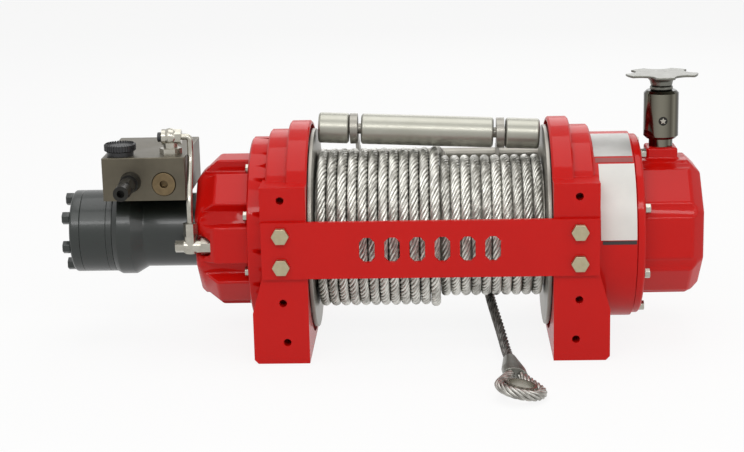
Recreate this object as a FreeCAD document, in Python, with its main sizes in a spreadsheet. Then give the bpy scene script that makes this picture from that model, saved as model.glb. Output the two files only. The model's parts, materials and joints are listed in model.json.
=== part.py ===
import FreeCAD, Part
import math
import os
import re
import Sketcher
from FreeCAD import Placement, Rotation, Vector

# Hydraulic planetary rope winch, standing on two foot castings.
# X runs along the drum axis from the motor to the gear housing, -Y is the front
# with the tie plate, +Z is up.  The origin is on the floor, midway between the
# feet and below the drum axis.  All lengths are millimetres, angles degrees.

SIZES = [
    # drum axis and castings
    ("axis_height", 126, "drum axis above the floor"),
    ("half_depth", 125, "front and rear face of the feet from the drum axis"),
    ("foot_inner", "=drum_half_width + flange_thickness", "inner face of a foot"),
    ("foot_width", 62, "foot at the floor"),
    ("foot_outer", "=foot_inner + foot_width", "outer edge of a foot at the floor"),
    ("block_width", 50.5, "upper block"),
    ("block_outer", "=foot_inner + block_width", "outer edge of the upper block"),
    ("foot_chamfer", 4.5, "bevel at the foot's lower outer edge"),
    ("taper_low", 58, "height where the foot starts to narrow"),
    ("taper_high", 98, "height where the foot has narrowed"),
    ("shelf_rise", 74, "top of the block above the drum axis"),
    ("shelf_height", "=axis_height + shelf_rise", "top of the block"),
    ("ring_radius", "=half_depth", "large ring beside the drum, flush with the faces"),
    ("ring_width", 24, "its width"),
    ("step_height", 9.5, "large ring to second ring"),
    ("step_radius", "=ring_radius - step_height", "second ring"),
    ("step_width", 23, "its width"),
    ("casting_face", "=foot_inner + ring_width + step_width", "outer face of a casting"),
    ("ring_wall", 4.5, "wall of the large ring round the drum flange"),
    ("edge_bevel", 2, "bevel on the rings"),
    ("journal_depth", 26, "drum journal bore beyond the inner face"),
    ("journal_radius", 42, "drum journal"),
    ("journal_gap", 0.05, "radial running gap of the journal"),
    ("running_gap", 5, "gap between the drum and what it passes"),
    ("seat_gap", 0.3, "gap at curved seats that do not move"),
    # fixing holes
    ("hole_inset", 28, "inner face to the rows of holes"),
    ("hole_spacing", "=2 * (foot_inner + hole_inset)", "left foot to right foot"),
    ("top_hole_drop", 14.5, "top of the block to the upper row"),
    ("top_hole_height", "=shelf_height - top_hole_drop", "upper row"),
    ("hole_rows", 116, "upper row to the row below the plate"),
    ("low_hole_height", 24.5, "lowest row"),
    ("low_hole_inset", 24.5, "inner face to the lowest row"),
    ("low_hole_spacing", "=2 * (foot_inner + low_hole_inset)", "holes of the lowest row"),
    ("tapped_radius", 4.25, "tapped hole for a 10 mm screw"),
    ("tapped_depth", 24, "its depth"),
    ("base_hole_spacing", 190, "holes under a foot, front to rear"),
    ("base_hole_radius", 5.1, "tapped hole for a 12 mm screw"),
    ("base_hole_depth", 26, "its depth"),
    # tie plate
    ("plate_lap", 49.5, "how far the tie plate laps over a foot"),
    ("plate_half_length", "=foot_inner + plate_lap", "half of the front tie plate"),
    ("plate_rise", 4.3, "middle of the plate above the drum axis"),
    ("plate_middle", "=axis_height + plate_rise", "height of its middle"),
    ("plate_height", 63.5, "its height"),
    ("plate_thickness", 6, "its thickness"),
    ("plate_bolt_pitch", 35, "upper bolt to lower bolt"),
    ("plate_bolt_radius", 5, "10 mm bolts"),
    ("plate_bolt_flats", 17, "hexagon of the bolts"),
    ("plate_bolt_head", 7, "height of the heads"),
    ("plate_hole_gap", 0.5, "bolt to the plate's hole"),
    ("thread_gap", 0.05, "bolt to its tapped hole"),
    ("slot_count", 6, "slots in the plate"),
    ("slot_pitch", 27.5, "slot to slot"),
    ("slot_width", 17, "slot width"),
    ("slot_height", 28, "slot height"),
    # drum and rope
    ("drum_half_width", 130, "drum middle to the inside of a flange"),
    ("flange_radius", "=ring_radius - ring_wall - running_gap", "drum flange"),
    ("flange_thickness", 5, "its thickness"),
    ("barrel_radius", 70, "drum barrel"),
    ("rope_radius", 5.75, "wire rope"),
    ("turn_gap", 0.1, "turn to next turn"),
    ("rope_pitch", "=2 * rope_radius + turn_gap", "pitch of the turns"),
    ("layer_rise", "=rope_radius * sqrt(3)", "first layer to second layer"),
    ("lower_turns", "=floor(2 * drum_half_width / rope_pitch)", "turns of the first layer"),
    ("upper_turns", 12, "turns of the second layer"),
    ("last_turn_rise", 2, "last turn of the second layer, lifted by the crossing rope"),
    ("groove_depth", 3, "valley between two turns"),
    # brake housing
    ("brake_flange_radius", 107, "brake housing flange"),
    ("brake_flange_width", 21, "its width"),
    ("brake_flats", 85.5, "axis to the flats of the brake housing"),
    ("brake_body_length", 39, "its eight-sided part"),
    ("brake_shoulder", "=casting_face + brake_flange_width", "where that starts"),
    ("brake_nose", "=brake_shoulder + brake_body_length", "where its taper starts"),
    ("brake_nose_radius", 63.5, "its small end"),
    ("brake_nose_length", 24, "its taper"),
    ("brake_end", "=brake_nose + brake_nose_length", "its small end"),
    ("port_inset", 5, "face that seats the brake line, beyond the start of the taper"),
    ("port_seat", "=brake_nose + port_inset", "that face from the middle"),
    ("port_well_radius", 11.6, "round well that makes the face"),
    ("channel_floor", 74.5, "floor of a brake bolt channel from the axis"),
    ("channel_floor_half", 8, "its half width"),
    ("channel_slope", 0.42, "how fast a channel widens outwards"),
    ("cover_channel_floor", 79, "floor of a cover bolt channel from the axis"),
    ("cover_channel_half", 4, "its half width"),
    ("cover_channel_slope", 2.2, "how fast it widens outwards"),
    ("channel_reach", 22, "height of a channel cut above its floor"),
    ("brake_bolt_circle", 83, "brake housing bolts from the axis"),
    ("cover_bolt_circle", 96, "cover bolts from the axis"),
    ("housing_bolts", 8, "bolts round each housing"),
    ("small_bolt_flats", 10, "hexagon of the housing bolts"),
    ("small_bolt_head", 6, "height of their heads"),
    # gear side
    ("gear_radius", 106.5, "gear housing"),
    ("gear_length", 47, "its length"),
    ("gear_end", "=casting_face + gear_length", "its end"),
    ("cover_ring_radius", 103.5, "ring of the gear cover"),
    ("cover_ring_width", 9, "its width"),
    ("cover_face", "=gear_end + cover_ring_width", "where the cover starts"),
    ("joint_gap", 0.8, "width of the joint groove"),
    ("cover_flats", 77.8, "axis to the flats of the cover"),
    ("cover_length", 55, "eight-sided part of the cover"),
    ("cover_bevel_length", 14, "bevelled end of the cover"),
    ("cover_end_flats", 64, "axis to the flats at its end"),
    # clutch
    ("clutch_inset", 27, "clutch axis beyond the start of the cover"),
    ("clutch_place", "=cover_face + clutch_inset", "clutch axis along the drum"),
    ("boss_height", 91, "clutch boss above the drum axis"),
    ("boss_half", 17.5, "half width of the square boss"),
    ("barrel_foot_radius", 13.5, "narrow foot of the clutch barrel"),
    ("barrel_foot_length", 9, "its length"),
    ("clutch_barrel_radius", 19.8, "clutch barrel"),
    ("clutch_barrel_length", 55, "its length"),
    ("barrel_bevel", 3, "bevel at its ends"),
    ("stem_radius", 9, "clutch stem"),
    ("stem_gap", 0.06, "radial running gap of the stem"),
    ("stem_depth", 40, "length of the stem inside the barrel"),
    ("stem_collar_radius", 13, "stem above the barrel"),
    ("stem_collar_height", 5, "barrel to knob at rest"),
    ("knob_height", 14, "height of the flared knob"),
    ("knob_disc", 2.6, "thickness of the star"),
    ("knob_radius", 41, "star tips from the clutch axis"),
    ("knob_valley", 30, "star valleys from the clutch axis"),
    ("knob_lobes", 5, "lobes of the star"),
    ("knob_pin_radius", 5, "pin of the stem inside the knob"),
    ("set_screw_radius", 5, "screw in the side of the barrel"),
    ("set_screw_height", 31, "screw above the boss"),
    ("set_screw_hole", 7, "depth of its hole"),
    ("set_screw_sink", 0.5, "screw below the side of the barrel"),
    ("set_screw_socket", 3, "depth of its socket"),
    # rope roller
    ("roller_radius", 17.5, "pressure roller"),
    ("roller_rest", 0.75, "roller above the last turn, with its seat gap"),
    ("roller_mid_height",
     "=barrel_radius + 2 * rope_radius + layer_rise + last_turn_rise + roller_radius"
     " + roller_rest",
     "roller axis above the drum axis at the rope's step"),
    ("roller_step_place", 12, "where the upper layer ends"),
    ("roller_tilt", 2.6, "slope of the roller"),
    ("roller_end_gap", 3.5, "roller end to drum flange"),
    ("roller_half_length", "=drum_half_width - roller_end_gap", "half length of the roller"),
    ("roller_shaft_radius", 6, "its shaft"),
    ("roller_gap", 0.08, "radial running gap of the roller"),
    ("arm_left_place", 85.7, "left arm from the middle"),
    ("arm_right_place", 81.8, "right arm from the middle"),
    ("arm_thickness", 4, "arm"),
    ("arm_half_width", 8, "half width of an arm"),
    ("arm_outer_gap", 1.2, "arm ring to an end sleeve"),
    ("arm_inner_gap", 3.5, "arm ring to the middle sleeve"),
    ("arm_elbow_depth", 60, "elbow of an arm behind the drum axis"),
    ("arm_elbow_rise", 100, "elbow of an arm above the drum axis"),
    ("arm_boss_radius", 13, "arm round the pivot rod"),
    ("arm_eye_radius", "=roller_radius", "ring of the arm round the roller shaft"),
    ("arm_eye_width", 9, "width of that ring"),
    ("arm_eye_gap", 0.4, "roller shaft to the arm's hole"),
    ("shaft_cap_radius", 8.5, "caps of the roller shaft"),
    ("shaft_cap_width", 2.5, "their width"),
    ("shaft_cap_inset", 0.4, "cap inside the end of its sleeve"),
    ("cap_recess_radius", "=shaft_cap_radius + 0.7", "recess of a cap"),
    ("cap_recess_depth", "=shaft_cap_inset + shaft_cap_width + seat_gap", "its depth"),
    ("pivot_inset", 12, "pivot rod to the rear faces"),
    ("pivot_depth", "=half_depth - pivot_inset", "pivot rod behind the drum axis"),
    ("pivot_drop", 12, "top of the block to the pivot rod"),
    ("pivot_rise", "=shelf_rise - pivot_drop", "pivot rod above the drum axis"),
    ("pivot_radius", 8, "pivot rod"),
    ("pivot_gap", 0.08, "radial running gap of the arms"),
    ("pivot_seat", 15, "length of the rod inside each casting"),
    # motor
    ("motor_radius", 47.5, "end cover and ring of the motor"),
    ("motor_length", 148, "brake housing to the end of the motor"),
    ("motor_end", "=brake_end + motor_length", "motor end face from the middle"),
    ("end_cover_width", 12, "end cover"),
    ("gerotor_width", 30, "gerotor ring"),
    ("spacer_width", 7, "spacer plate"),
    ("gerotor_face", "=motor_end - end_cover_width", "end cover to gerotor ring"),
    ("spacer_face", "=gerotor_face - gerotor_width", "gerotor ring to spacer plate"),
    ("body_face", "=spacer_face - spacer_width", "spacer plate to housing"),
    ("motor_body_radius", 50.8, "motor housing"),
    ("motor_body_length", 22, "its wide part"),
    ("motor_shoulder", 6, "how soon it reaches full width"),
    ("motor_taper_length", 14, "its taper"),
    ("motor_neck_radius", 42.5, "its neck"),
    ("motor_bolts", 7, "bolts at the motor end"),
    ("motor_bolt_circle", 38.5, "their distance from the axis"),
    ("motor_bolt_turn", 16, "first bolt below the front"),
    ("motor_bolt_flats", 13, "their hexagon"),
    ("motor_bolt_head", 9, "height of their heads"),
    # valve block
    ("block_setback", 46, "motor end to the valve block"),
    ("block_left", "=motor_end - block_setback", "valve block, left face from the middle"),
    ("block_saddle_lap", 8, "flat on the motor beyond the block"),
    ("block_length", 94, "along the drum axis"),
    ("block_half_depth", 64.3, "half of its depth"),
    ("block_seat", 48.5, "its underside above the axis"),
    ("block_tall", 49.5, "its height"),
    ("port_radius", 13, "port in its front face"),
    ("port_reach", 69.5, "block's left face to the port"),
    ("port_place", "=block_left - port_reach", "port from the middle"),
    ("port_rise", 19, "port above the block's underside"),
    ("port_height", "=axis_height + block_seat + port_rise", "port above the floor"),
    ("port_depth", 10, "depth of its seat"),
    ("port_stand", 1.5, "plug in front of the face"),
    ("port_socket", 9, "depth of the plug's hole"),
    ("cap_reach", 19, "block's left face to the screw cap"),
    ("cap_place", "=block_left - cap_reach", "screw cap from the middle"),
    ("cap_depth", 46, "screw cap in front of the drum axis"),
    ("cap_radius", 18, "screw cap"),
    ("cap_height", 9, "its height above its neck"),
    ("cap_neck_radius", 15, "its neck"),
    ("cap_neck_height", 5, "height of the neck"),
    ("relief_reach", 32, "block's left face to the relief valve"),
    ("relief_place", "=block_left - relief_reach", "relief valve from the middle"),
    ("relief_rise", 22, "relief valve above the block's underside"),
    ("relief_height", "=axis_height + block_seat + relief_rise", "its height above the floor"),
    ("relief_length", 64, "how far it stands out"),
    ("relief_radius", 8.5, "its body"),
    ("relief_flats", 17, "its hexagon"),
    # brake line
    ("line_radius", 3.5, "brake line tube"),
    ("line_gap", 3.7, "brake housing end to the tube's middle"),
    ("line_place", "=brake_end + line_gap", "upright run of the tube from the middle"),
    ("line_straight", 22, "straight length at each end of the upright run"),
    ("line_sleeve", 1, "straight length inside the elbow's nut"),
    ("line_bend", 8.5, "radius of its upper bend"),
    ("elbow_reach", 76, "block's left face to the elbow fitting"),
    ("elbow_place", "=block_left - elbow_reach", "elbow fitting from the middle"),
    ("elbow_depth", 43, "elbow in front of the drum axis"),
    ("elbow_rise", 19.5, "its cross barrel above the block"),
    ("elbow_radius", 9, "its barrel"),
    ("elbow_flats", 22, "its hexagon"),
    ("elbow_base", 7, "height of the hexagon"),
    ("elbow_plug_radius", 5.5, "plug at its left end"),
    ("elbow_plug_length", 4, "its length"),
    ("tee_depth", 72, "tee in front of the drum axis"),
    ("tee_drop", 3, "tee below the drum axis"),
    ("tee_radius", 7.5, "body of the tee"),
    ("tee_flats", 17, "hexagon of its big nut"),
    ("tee_small_flats", 12, "hexagon of its plug"),
    ("tee_upper_flats", 14, "hexagon of its upper nut"),
    ("tee_nut_width", 11, "width of its nuts"),
    ("tee_nut_rise", 27, "top of the upper nut above the tee"),
    ("tee_nut_start", 11.5, "underside of the upper nut above the tee"),
    # free rope end
    ("ferrule_length", 56, "pressed ferrule"),
    ("ferrule_neck_radius", 7.5, "its narrow end"),
    ("ferrule_band", 18, "its straight end"),
    ("ferrule_width", 27, "its wide end"),
    ("ferrule_height", 17, "its height at the wide end"),
    ("eye_radius", 22.3, "rope centre round the eye"),
    ("eye_length", 44, "ferrule to the middle of the eye's bend"),
    ("eye_roll", 12, "how far the eye lies rolled over"),
    ("leg_spread", 6.2, "rope legs from the middle of the ferrule"),
    ("leg_start", 3, "start of the legs behind the ferrule's face, cut off there"),
    ("thimble_wall", 2.5, "thimble"),
    ("thimble_width", 11, "its width"),
]

# Route of the free rope end, from the drum to the ferrule, as chosen points.
TAIL_ROUTE = [
    (68.5, 8.0, 40.1),
    (70.2, -16.0, 36.8),
    (73.8, -43.0, 29.4),
    (77.6, -70.0, 21.6),
    (80.9, -97.0, 14.0),
    (83.5, -124.0, 9.1),
    (85.4, -150.0, 9.4),
]

document = FreeCAD.newDocument("RopeWinch")
sheet = document.addObject("Spreadsheet::Sheet", "Sizes")
for row, (alias, value, note) in enumerate(SIZES, start=1):
    sheet.set("A%d" % row, alias)
    sheet.set("C%d" % row, note)
    sheet.setAlias("B%d" % row, alias)
for row, (alias, value, note) in enumerate(SIZES, start=1):
    sheet.set("B%d" % row, str(value))
document.recompute()

ALIASES = {alias for alias, value, note in SIZES}
NODES = {}


def size(alias):
    """Value of one cell."""
    return float(sheet.get(alias))


def bound(expression):
    """Expression text with every alias pointing at the sheet."""
    def cell(match):
        word = match.group()
        return "Sizes." + word if word in ALIASES else word
    return re.sub(r"[a-z][a-z_]*", cell, expression)


def bind(thing, prop, expression):
    """Tie one property to the sheet."""
    thing.setExpression(prop, bound(expression))


def piece(node, height="axis_height", place=None, tilt=None):
    """New body whose own frame lies on the drum axis, or where the expressions say."""
    body = document.addObject("PartDesign::Body", node)
    body.Label = node
    if tilt:
        body.Placement = Placement(Vector(), Rotation(Vector(0, 1, 0), size(tilt)))
        bind(body, "Placement.Rotation.Angle", tilt)
    if place:
        bind(body, "Placement.Base.x", place)
    bind(body, "Placement.Base.z", height)
    NODES[node] = body
    return body


def origin_part(body, role):
    """Origin plane or axis of a body."""
    for feature in body.Origin.OriginFeatures:
        if feature.Role == role:
            return feature
    raise ValueError(role)


def sketch_on(body, plane, offset):
    """Empty sketch on an origin plane, moved along the plane's normal."""
    sketch = body.newObject("Sketcher::SketchObject", body.Name + "_sketch")
    sketch.AttachmentSupport = [(origin_part(body, plane), "")]
    sketch.MapMode = "FlatFace"
    if offset:
        bind(sketch, "AttachmentOffset.Base.z", offset)
    return sketch


def place_point(sketch, geometry, position, across, upward):
    """Hold one point of a sketch at a place given by two expressions."""
    for kind, expression in (("DistanceX", across), ("DistanceY", upward)):
        point = sketch.getPoint(geometry, position)
        now = point.x if kind == "DistanceX" else point.y
        index = sketch.addConstraint(
            Sketcher.Constraint(kind, -1, 1, geometry, position, now))
        bind(sketch, "Constraints[%d]" % index, expression)


def outline(body, plane, corners, offset=None):
    """Sketch of one closed outline with straight sides."""
    sketch = sketch_on(body, plane, offset)
    count = len(corners)
    turn = 2 * math.pi / count
    start = [Vector(90 + 40 * math.cos(turn * k), 90 + 40 * math.sin(turn * k), 0)
             for k in range(count)]
    sketch.addGeometry([Part.LineSegment(start[k], start[(k + 1) % count])
                        for k in range(count)])
    sketch.addConstraint([Sketcher.Constraint("Coincident", k, 2, (k + 1) % count, 1)
                          for k in range(count)])
    for k, (across, upward) in enumerate(corners):
        place_point(sketch, k, 1, across, upward)
    return sketch


def circles(body, plane, rounds, offset=None):
    """Sketch of circles, each a centre and a radius."""
    sketch = sketch_on(body, plane, offset)
    for k, (across, upward, radius) in enumerate(rounds):
        sketch.addGeometry(Part.Circle(Vector(50 * k, 20, 0), Vector(0, 0, 1), 5))
        place_point(sketch, k, 3, across, upward)
        index = sketch.addConstraint(Sketcher.Constraint("Radius", k, 5))
        bind(sketch, "Constraints[%d]" % index, radius)
    return sketch


def pad(body, sketch, length, both_ways=False, backwards=False):
    """Material along the sketch's normal."""
    feature = body.newObject("PartDesign::Pad", body.Name + "_pad")
    feature.Profile = sketch
    feature.Midplane = both_ways
    feature.Reversed = backwards
    bind(feature, "Length", length)
    document.recompute()
    return feature


def pocket(body, sketch, length, forwards=False):
    """Cut against the sketch's normal, or along it."""
    feature = body.newObject("PartDesign::Pocket", body.Name + "_pocket")
    feature.Profile = sketch
    feature.Reversed = forwards
    bind(feature, "Length", length)
    document.recompute()
    return feature


def turned(body, corners, cut=False, axis="H_Axis"):
    """Solid or cut turned round the body's X axis, or its Z axis with V_Axis."""
    sketch = outline(body, "XZ_Plane", corners)
    kind = "PartDesign::Groove" if cut else "PartDesign::Revolution"
    feature = body.newObject(kind, body.Name + "_turned")
    feature.Profile = sketch
    feature.ReferenceAxis = (sketch, [axis])
    feature.Angle = 360
    document.recompute()
    return feature


def round_pattern(body, feature, count, axis="X_Axis"):
    """Copies of a feature round an axis of the body."""
    pattern = body.newObject("PartDesign::PolarPattern", body.Name + "_round")
    pattern.Originals = [feature]
    pattern.Axis = (origin_part(body, axis), [""])
    pattern.Angle = 360
    bind(pattern, "Occurrences", count)
    body.Tip = pattern
    document.recompute()
    return pattern


def shaped(node, shape, height=0.0):
    """Node whose shape comes from Part's own functions."""
    feature = document.addObject("Part::Feature", node)
    feature.Label = node
    feature.Shape = shape
    feature.Placement = Placement(Vector(0, 0, height), Rotation()).multiply(shape.Placement)
    NODES[node] = feature
    return feature


def rod(radius, start, along):
    """Cylinder from a point along a vector."""
    return Part.makeCylinder(radius, along.Length, start, along)


def hexagon(flats, start, along):
    """Hexagonal prism from a point along a vector."""
    corner = flats / math.sqrt(3)
    ring = [Vector(corner * math.cos(math.radians(60 * k)),
                   corner * math.sin(math.radians(60 * k)), 0) for k in range(7)]
    prism = Part.Face(Part.makePolygon(ring)).extrude(Vector(0, 0, along.Length))
    prism.Placement = Placement(start, Rotation(Vector(0, 0, 1), along))
    return prism


def eight_sided(flats):
    """Corners of an eight-sided outline with flats to front, rear, top and bottom."""
    corner = "%s * 1.0823922" % flats
    return [("%s * %.7f" % (corner, math.cos(math.radians(22.5 + 45 * k))),
             "%s * %.7f" % (corner, math.sin(math.radians(22.5 + 45 * k))))
            for k in range(8)]


def support(node, side):
    """Foot casting with two rings; side is "" for the gear side, "-" for the motor's."""
    body = piece(node)

    def at(expression):
        return "%s(%s)" % (side, expression)

    foot = outline(body, "XZ_Plane", [
        (at("foot_inner"), "-axis_height"),
        (at("foot_outer - foot_chamfer"), "-axis_height"),
        (at("foot_outer"), "foot_chamfer - axis_height"),
        (at("foot_outer"), "taper_low - axis_height"),
        (at("block_outer"), "taper_high - axis_height"),
        (at("block_outer"), "shelf_height - axis_height"),
        (at("foot_inner"), "shelf_height - axis_height"),
    ])
    pad(body, foot, "2 * half_depth", both_ways=True)
    # seat of the housing flange that stands against the second ring
    flange = "brake_flange_radius" if side else "gear_radius"
    turned(body, [
        (at("casting_face"), "0"),
        (at("casting_face"), flange + " + seat_gap"),
        (at("foot_outer + running_gap"), flange + " + seat_gap"),
        (at("foot_outer + running_gap"), "0"),
    ], cut=True)
    turned(body, [
        (at("foot_inner"), "0"),
        (at("foot_inner"), "ring_radius - edge_bevel"),
        (at("foot_inner + edge_bevel"), "ring_radius"),
        (at("foot_inner + ring_width - edge_bevel"), "ring_radius"),
        (at("foot_inner + ring_width"), "ring_radius - edge_bevel"),
        (at("foot_inner + ring_width"), "step_radius"),
        (at("casting_face - edge_bevel"), "step_radius"),
        (at("casting_face"), "step_radius - edge_bevel"),
        (at("casting_face"), "0"),
    ])
    # recess of the drum flange and bore of the drum journal
    flange_face = "foot_inner + running_gap"
    turned(body, [
        (at("foot_inner - 1"), "0"),
        (at("foot_inner - 1"), "flange_radius + running_gap"),
        (at(flange_face), "flange_radius + running_gap"),
        (at(flange_face), "journal_radius + journal_gap"),
        (at("foot_inner + journal_depth"), "journal_radius + journal_gap"),
        (at("foot_inner + journal_depth"), "0"),
    ], cut=True)
    # tapped holes in the front face
    holes = circles(body, "XZ_Plane", [
        (at("hole_spacing / 2"), "top_hole_height - axis_height", "tapped_radius"),
        (at("hole_spacing / 2"), "top_hole_height - hole_rows - axis_height", "tapped_radius"),
        (at("low_hole_spacing / 2"), "low_hole_height - axis_height", "tapped_radius"),
        (at("hole_spacing / 2"), "plate_middle + plate_bolt_pitch / 2 - axis_height",
         "plate_bolt_radius + thread_gap"),
        (at("hole_spacing / 2"), "plate_middle - plate_bolt_pitch / 2 - axis_height",
         "plate_bolt_radius + thread_gap"),
    ], offset="half_depth")
    pocket(body, holes, "tapped_depth")
    base = circles(body, "XY_Plane", [
        (at("hole_spacing / 2"), "base_hole_spacing / 2", "base_hole_radius"),
        (at("hole_spacing / 2"), "-base_hole_spacing / 2", "base_hole_radius"),
    ], offset="-axis_height")
    pocket(body, base, "base_hole_depth", forwards=True)
    # seat of the pivot rod behind the drum
    seat = circles(body, "YZ_Plane", [
        ("pivot_depth", "pivot_rise", "pivot_radius + thread_gap")],
        offset=at("foot_inner"))
    pocket(body, seat, "pivot_seat", forwards=not side)


def tie_plate():
    """Front plate that joins the two feet, with a row of slots."""
    body = piece("front_tie_plate", "plate_middle")
    sheet_metal = outline(body, "XZ_Plane", [
        ("-plate_half_length", "-plate_height / 2"),
        ("plate_half_length", "-plate_height / 2"),
        ("plate_half_length", "plate_height / 2"),
        ("-plate_half_length", "plate_height / 2"),
    ], offset="half_depth")
    pad(body, sheet_metal, "plate_thickness")
    holes = circles(body, "XZ_Plane", [
        ("%shole_spacing / 2" % across, "%splate_bolt_pitch / 2" % upward,
         "plate_bolt_radius + plate_hole_gap")
        for across in ("", "-") for upward in ("", "-")],
        offset="half_depth + plate_thickness")
    pocket(body, holes, "plate_thickness + 1")
    first = "-slot_pitch * (slot_count - 1) / 2"
    corner = "slot_width * 0.3"
    slot = outline(body, "XZ_Plane", [
        (first + " - slot_width / 2", "-slot_height / 2 + " + corner),
        (first + " - slot_width / 2 + " + corner, "-slot_height / 2"),
        (first + " + slot_width / 2 - " + corner, "-slot_height / 2"),
        (first + " + slot_width / 2", "-slot_height / 2 + " + corner),
        (first + " + slot_width / 2", "slot_height / 2 - " + corner),
        (first + " + slot_width / 2 - " + corner, "slot_height / 2"),
        (first + " - slot_width / 2 + " + corner, "slot_height / 2"),
        (first + " - slot_width / 2", "slot_height / 2 - " + corner),
    ], offset="half_depth + plate_thickness")
    cut = pocket(body, slot, "plate_thickness + 1")
    row = body.newObject("PartDesign::LinearPattern", "slot_row")
    row.Originals = [cut]
    row.Direction = (origin_part(body, "X_Axis"), [""])
    bind(row, "Length", "slot_pitch * (slot_count - 1)")
    bind(row, "Occurrences", "slot_count")
    body.Tip = row
    document.recompute()


def tie_plate_bolts():
    """Four hexagon bolts through the tie plate into the feet."""
    face = -(size("half_depth") + size("plate_thickness"))
    bolts = []
    for across in (-1, 1):
        for upward in (-1, 1):
            seat = Vector(across * size("hole_spacing") / 2, face,
                          size("plate_middle") + upward * size("plate_bolt_pitch") / 2)
            head = hexagon(size("plate_bolt_flats"), seat,
                           Vector(0, -size("plate_bolt_head"), 0))
            shank = rod(size("plate_bolt_radius"), seat,
                        Vector(0, size("plate_thickness") + size("tapped_depth") - 2, 0))
            bolts.append(head.fuse(shank).removeSplitter())
    shaped("tie_plate_bolts", Part.makeCompound(bolts))


def drum():
    """Barrel with two flanges and the journals that run in the castings."""
    body = piece("drum")
    end = "(foot_inner + journal_depth - 2)"
    outside = "foot_inner"
    turned(body, [
        ("-" + end, "0"),
        ("-" + end, "journal_radius"),
        ("-" + outside, "journal_radius"),
        ("-" + outside, "flange_radius"),
        ("-drum_half_width", "flange_radius"),
        ("-drum_half_width", "barrel_radius"),
        ("drum_half_width", "barrel_radius"),
        ("drum_half_width", "flange_radius"),
        (outside, "flange_radius"),
        (outside, "journal_radius"),
        (end, "journal_radius"),
        (end, "0"),
    ])


def wound_rope():
    """Two layers of wound rope as one ribbed solid."""
    radius = size("rope_radius")
    pitch = size("rope_pitch")
    inner = size("barrel_radius") + size("seat_gap")
    lower_top = inner + 2 * radius
    upper_top = lower_top + size("layer_rise")
    turns = int(size("lower_turns"))
    upper = min(turns, int(size("upper_turns")))
    depth = size("groove_depth")
    left = -turns * pitch / 2
    corners = [(left, inner)]
    for turn in range(turns):
        top = upper_top if turn < upper else lower_top
        if turn == upper - 1:
            top += size("last_turn_rise")
        start = left + turn * pitch
        corners.append((start, top - depth))
        corners.append((start + pitch / 2, top))
        if turn in (upper - 1, turns - 1):
            corners.append((start + pitch, top - depth))
    corners.append((left + turns * pitch, inner))
    wire = Part.makePolygon([Vector(x, 0, r) for x, r in corners + corners[:1]])
    solid = Part.Face(wire).revolve(Vector(0, 0, 0), Vector(1, 0, 0), 360)
    shaped("wound_rope", solid, size("axis_height"))


def taper(body, near, far):
    """Solid between two outlines."""
    feature = body.newObject("PartDesign::AdditiveLoft", body.Name + "_taper")
    feature.Profile = near
    feature.Sections = [far]
    feature.Ruled = True
    document.recompute()
    return feature


def bolt_channel(floor, half, slope):
    """Corners of a channel that opens outwards, at the first housing bolt."""
    reach = "channel_reach"
    across, upward = 0.9238795, 0.3826834
    corners = []
    for away, side in (("0", "-"), ("0", ""), (reach, ""), (reach, "-")):
        distance = "(%s + %s)" % (floor, away)
        aside = "%s(%s + %s * %s)" % (side, half, away, slope)
        corners.append(("-%s * %.7f + %s * %.7f" % (distance, across, aside, upward),
                        "%s * %.7f + %s * %.7f" % (distance, upward, aside, across)))
    return corners


def brake_housing():
    """Flange, eight-sided body with bolt channels and tapered nose."""
    body = piece("brake_housing")
    turned(body, [
        ("-casting_face", "0"),
        ("-casting_face", "brake_flange_radius"),
        ("-brake_shoulder + edge_bevel", "brake_flange_radius"),
        ("-brake_shoulder", "brake_flange_radius - edge_bevel"),
        ("-brake_shoulder", "0"),
    ])
    sides = outline(body, "YZ_Plane", eight_sided("brake_flats"), offset="-brake_shoulder")
    pad(body, sides, "brake_body_length", backwards=True)
    taper(body,
          outline(body, "YZ_Plane", eight_sided("brake_flats"), offset="-brake_nose"),
          outline(body, "YZ_Plane", eight_sided("brake_nose_radius"), offset="-brake_end"))
    channel = outline(body, "YZ_Plane", bolt_channel(
        "channel_floor", "channel_floor_half", "channel_slope"), offset="-brake_shoulder")
    cut = pocket(body, channel, "brake_body_length + brake_nose_length")
    round_pattern(body, cut, "housing_bolts")
    port = circles(body, "YZ_Plane", [("-tee_depth", "-tee_drop", "port_well_radius")],
                   offset="-port_seat")
    pocket(body, port, "brake_nose_length")


def gear_housing():
    """Round gear housing with the narrow end that makes the joint groove."""
    body = piece("gear_housing")
    turned(body, [
        ("casting_face", "0"),
        ("casting_face", "gear_radius"),
        ("gear_end - joint_gap", "gear_radius"),
        ("gear_end - joint_gap", "cover_ring_radius - edge_bevel"),
        ("gear_end", "cover_ring_radius - edge_bevel"),
        ("gear_end", "0"),
    ])


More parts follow.
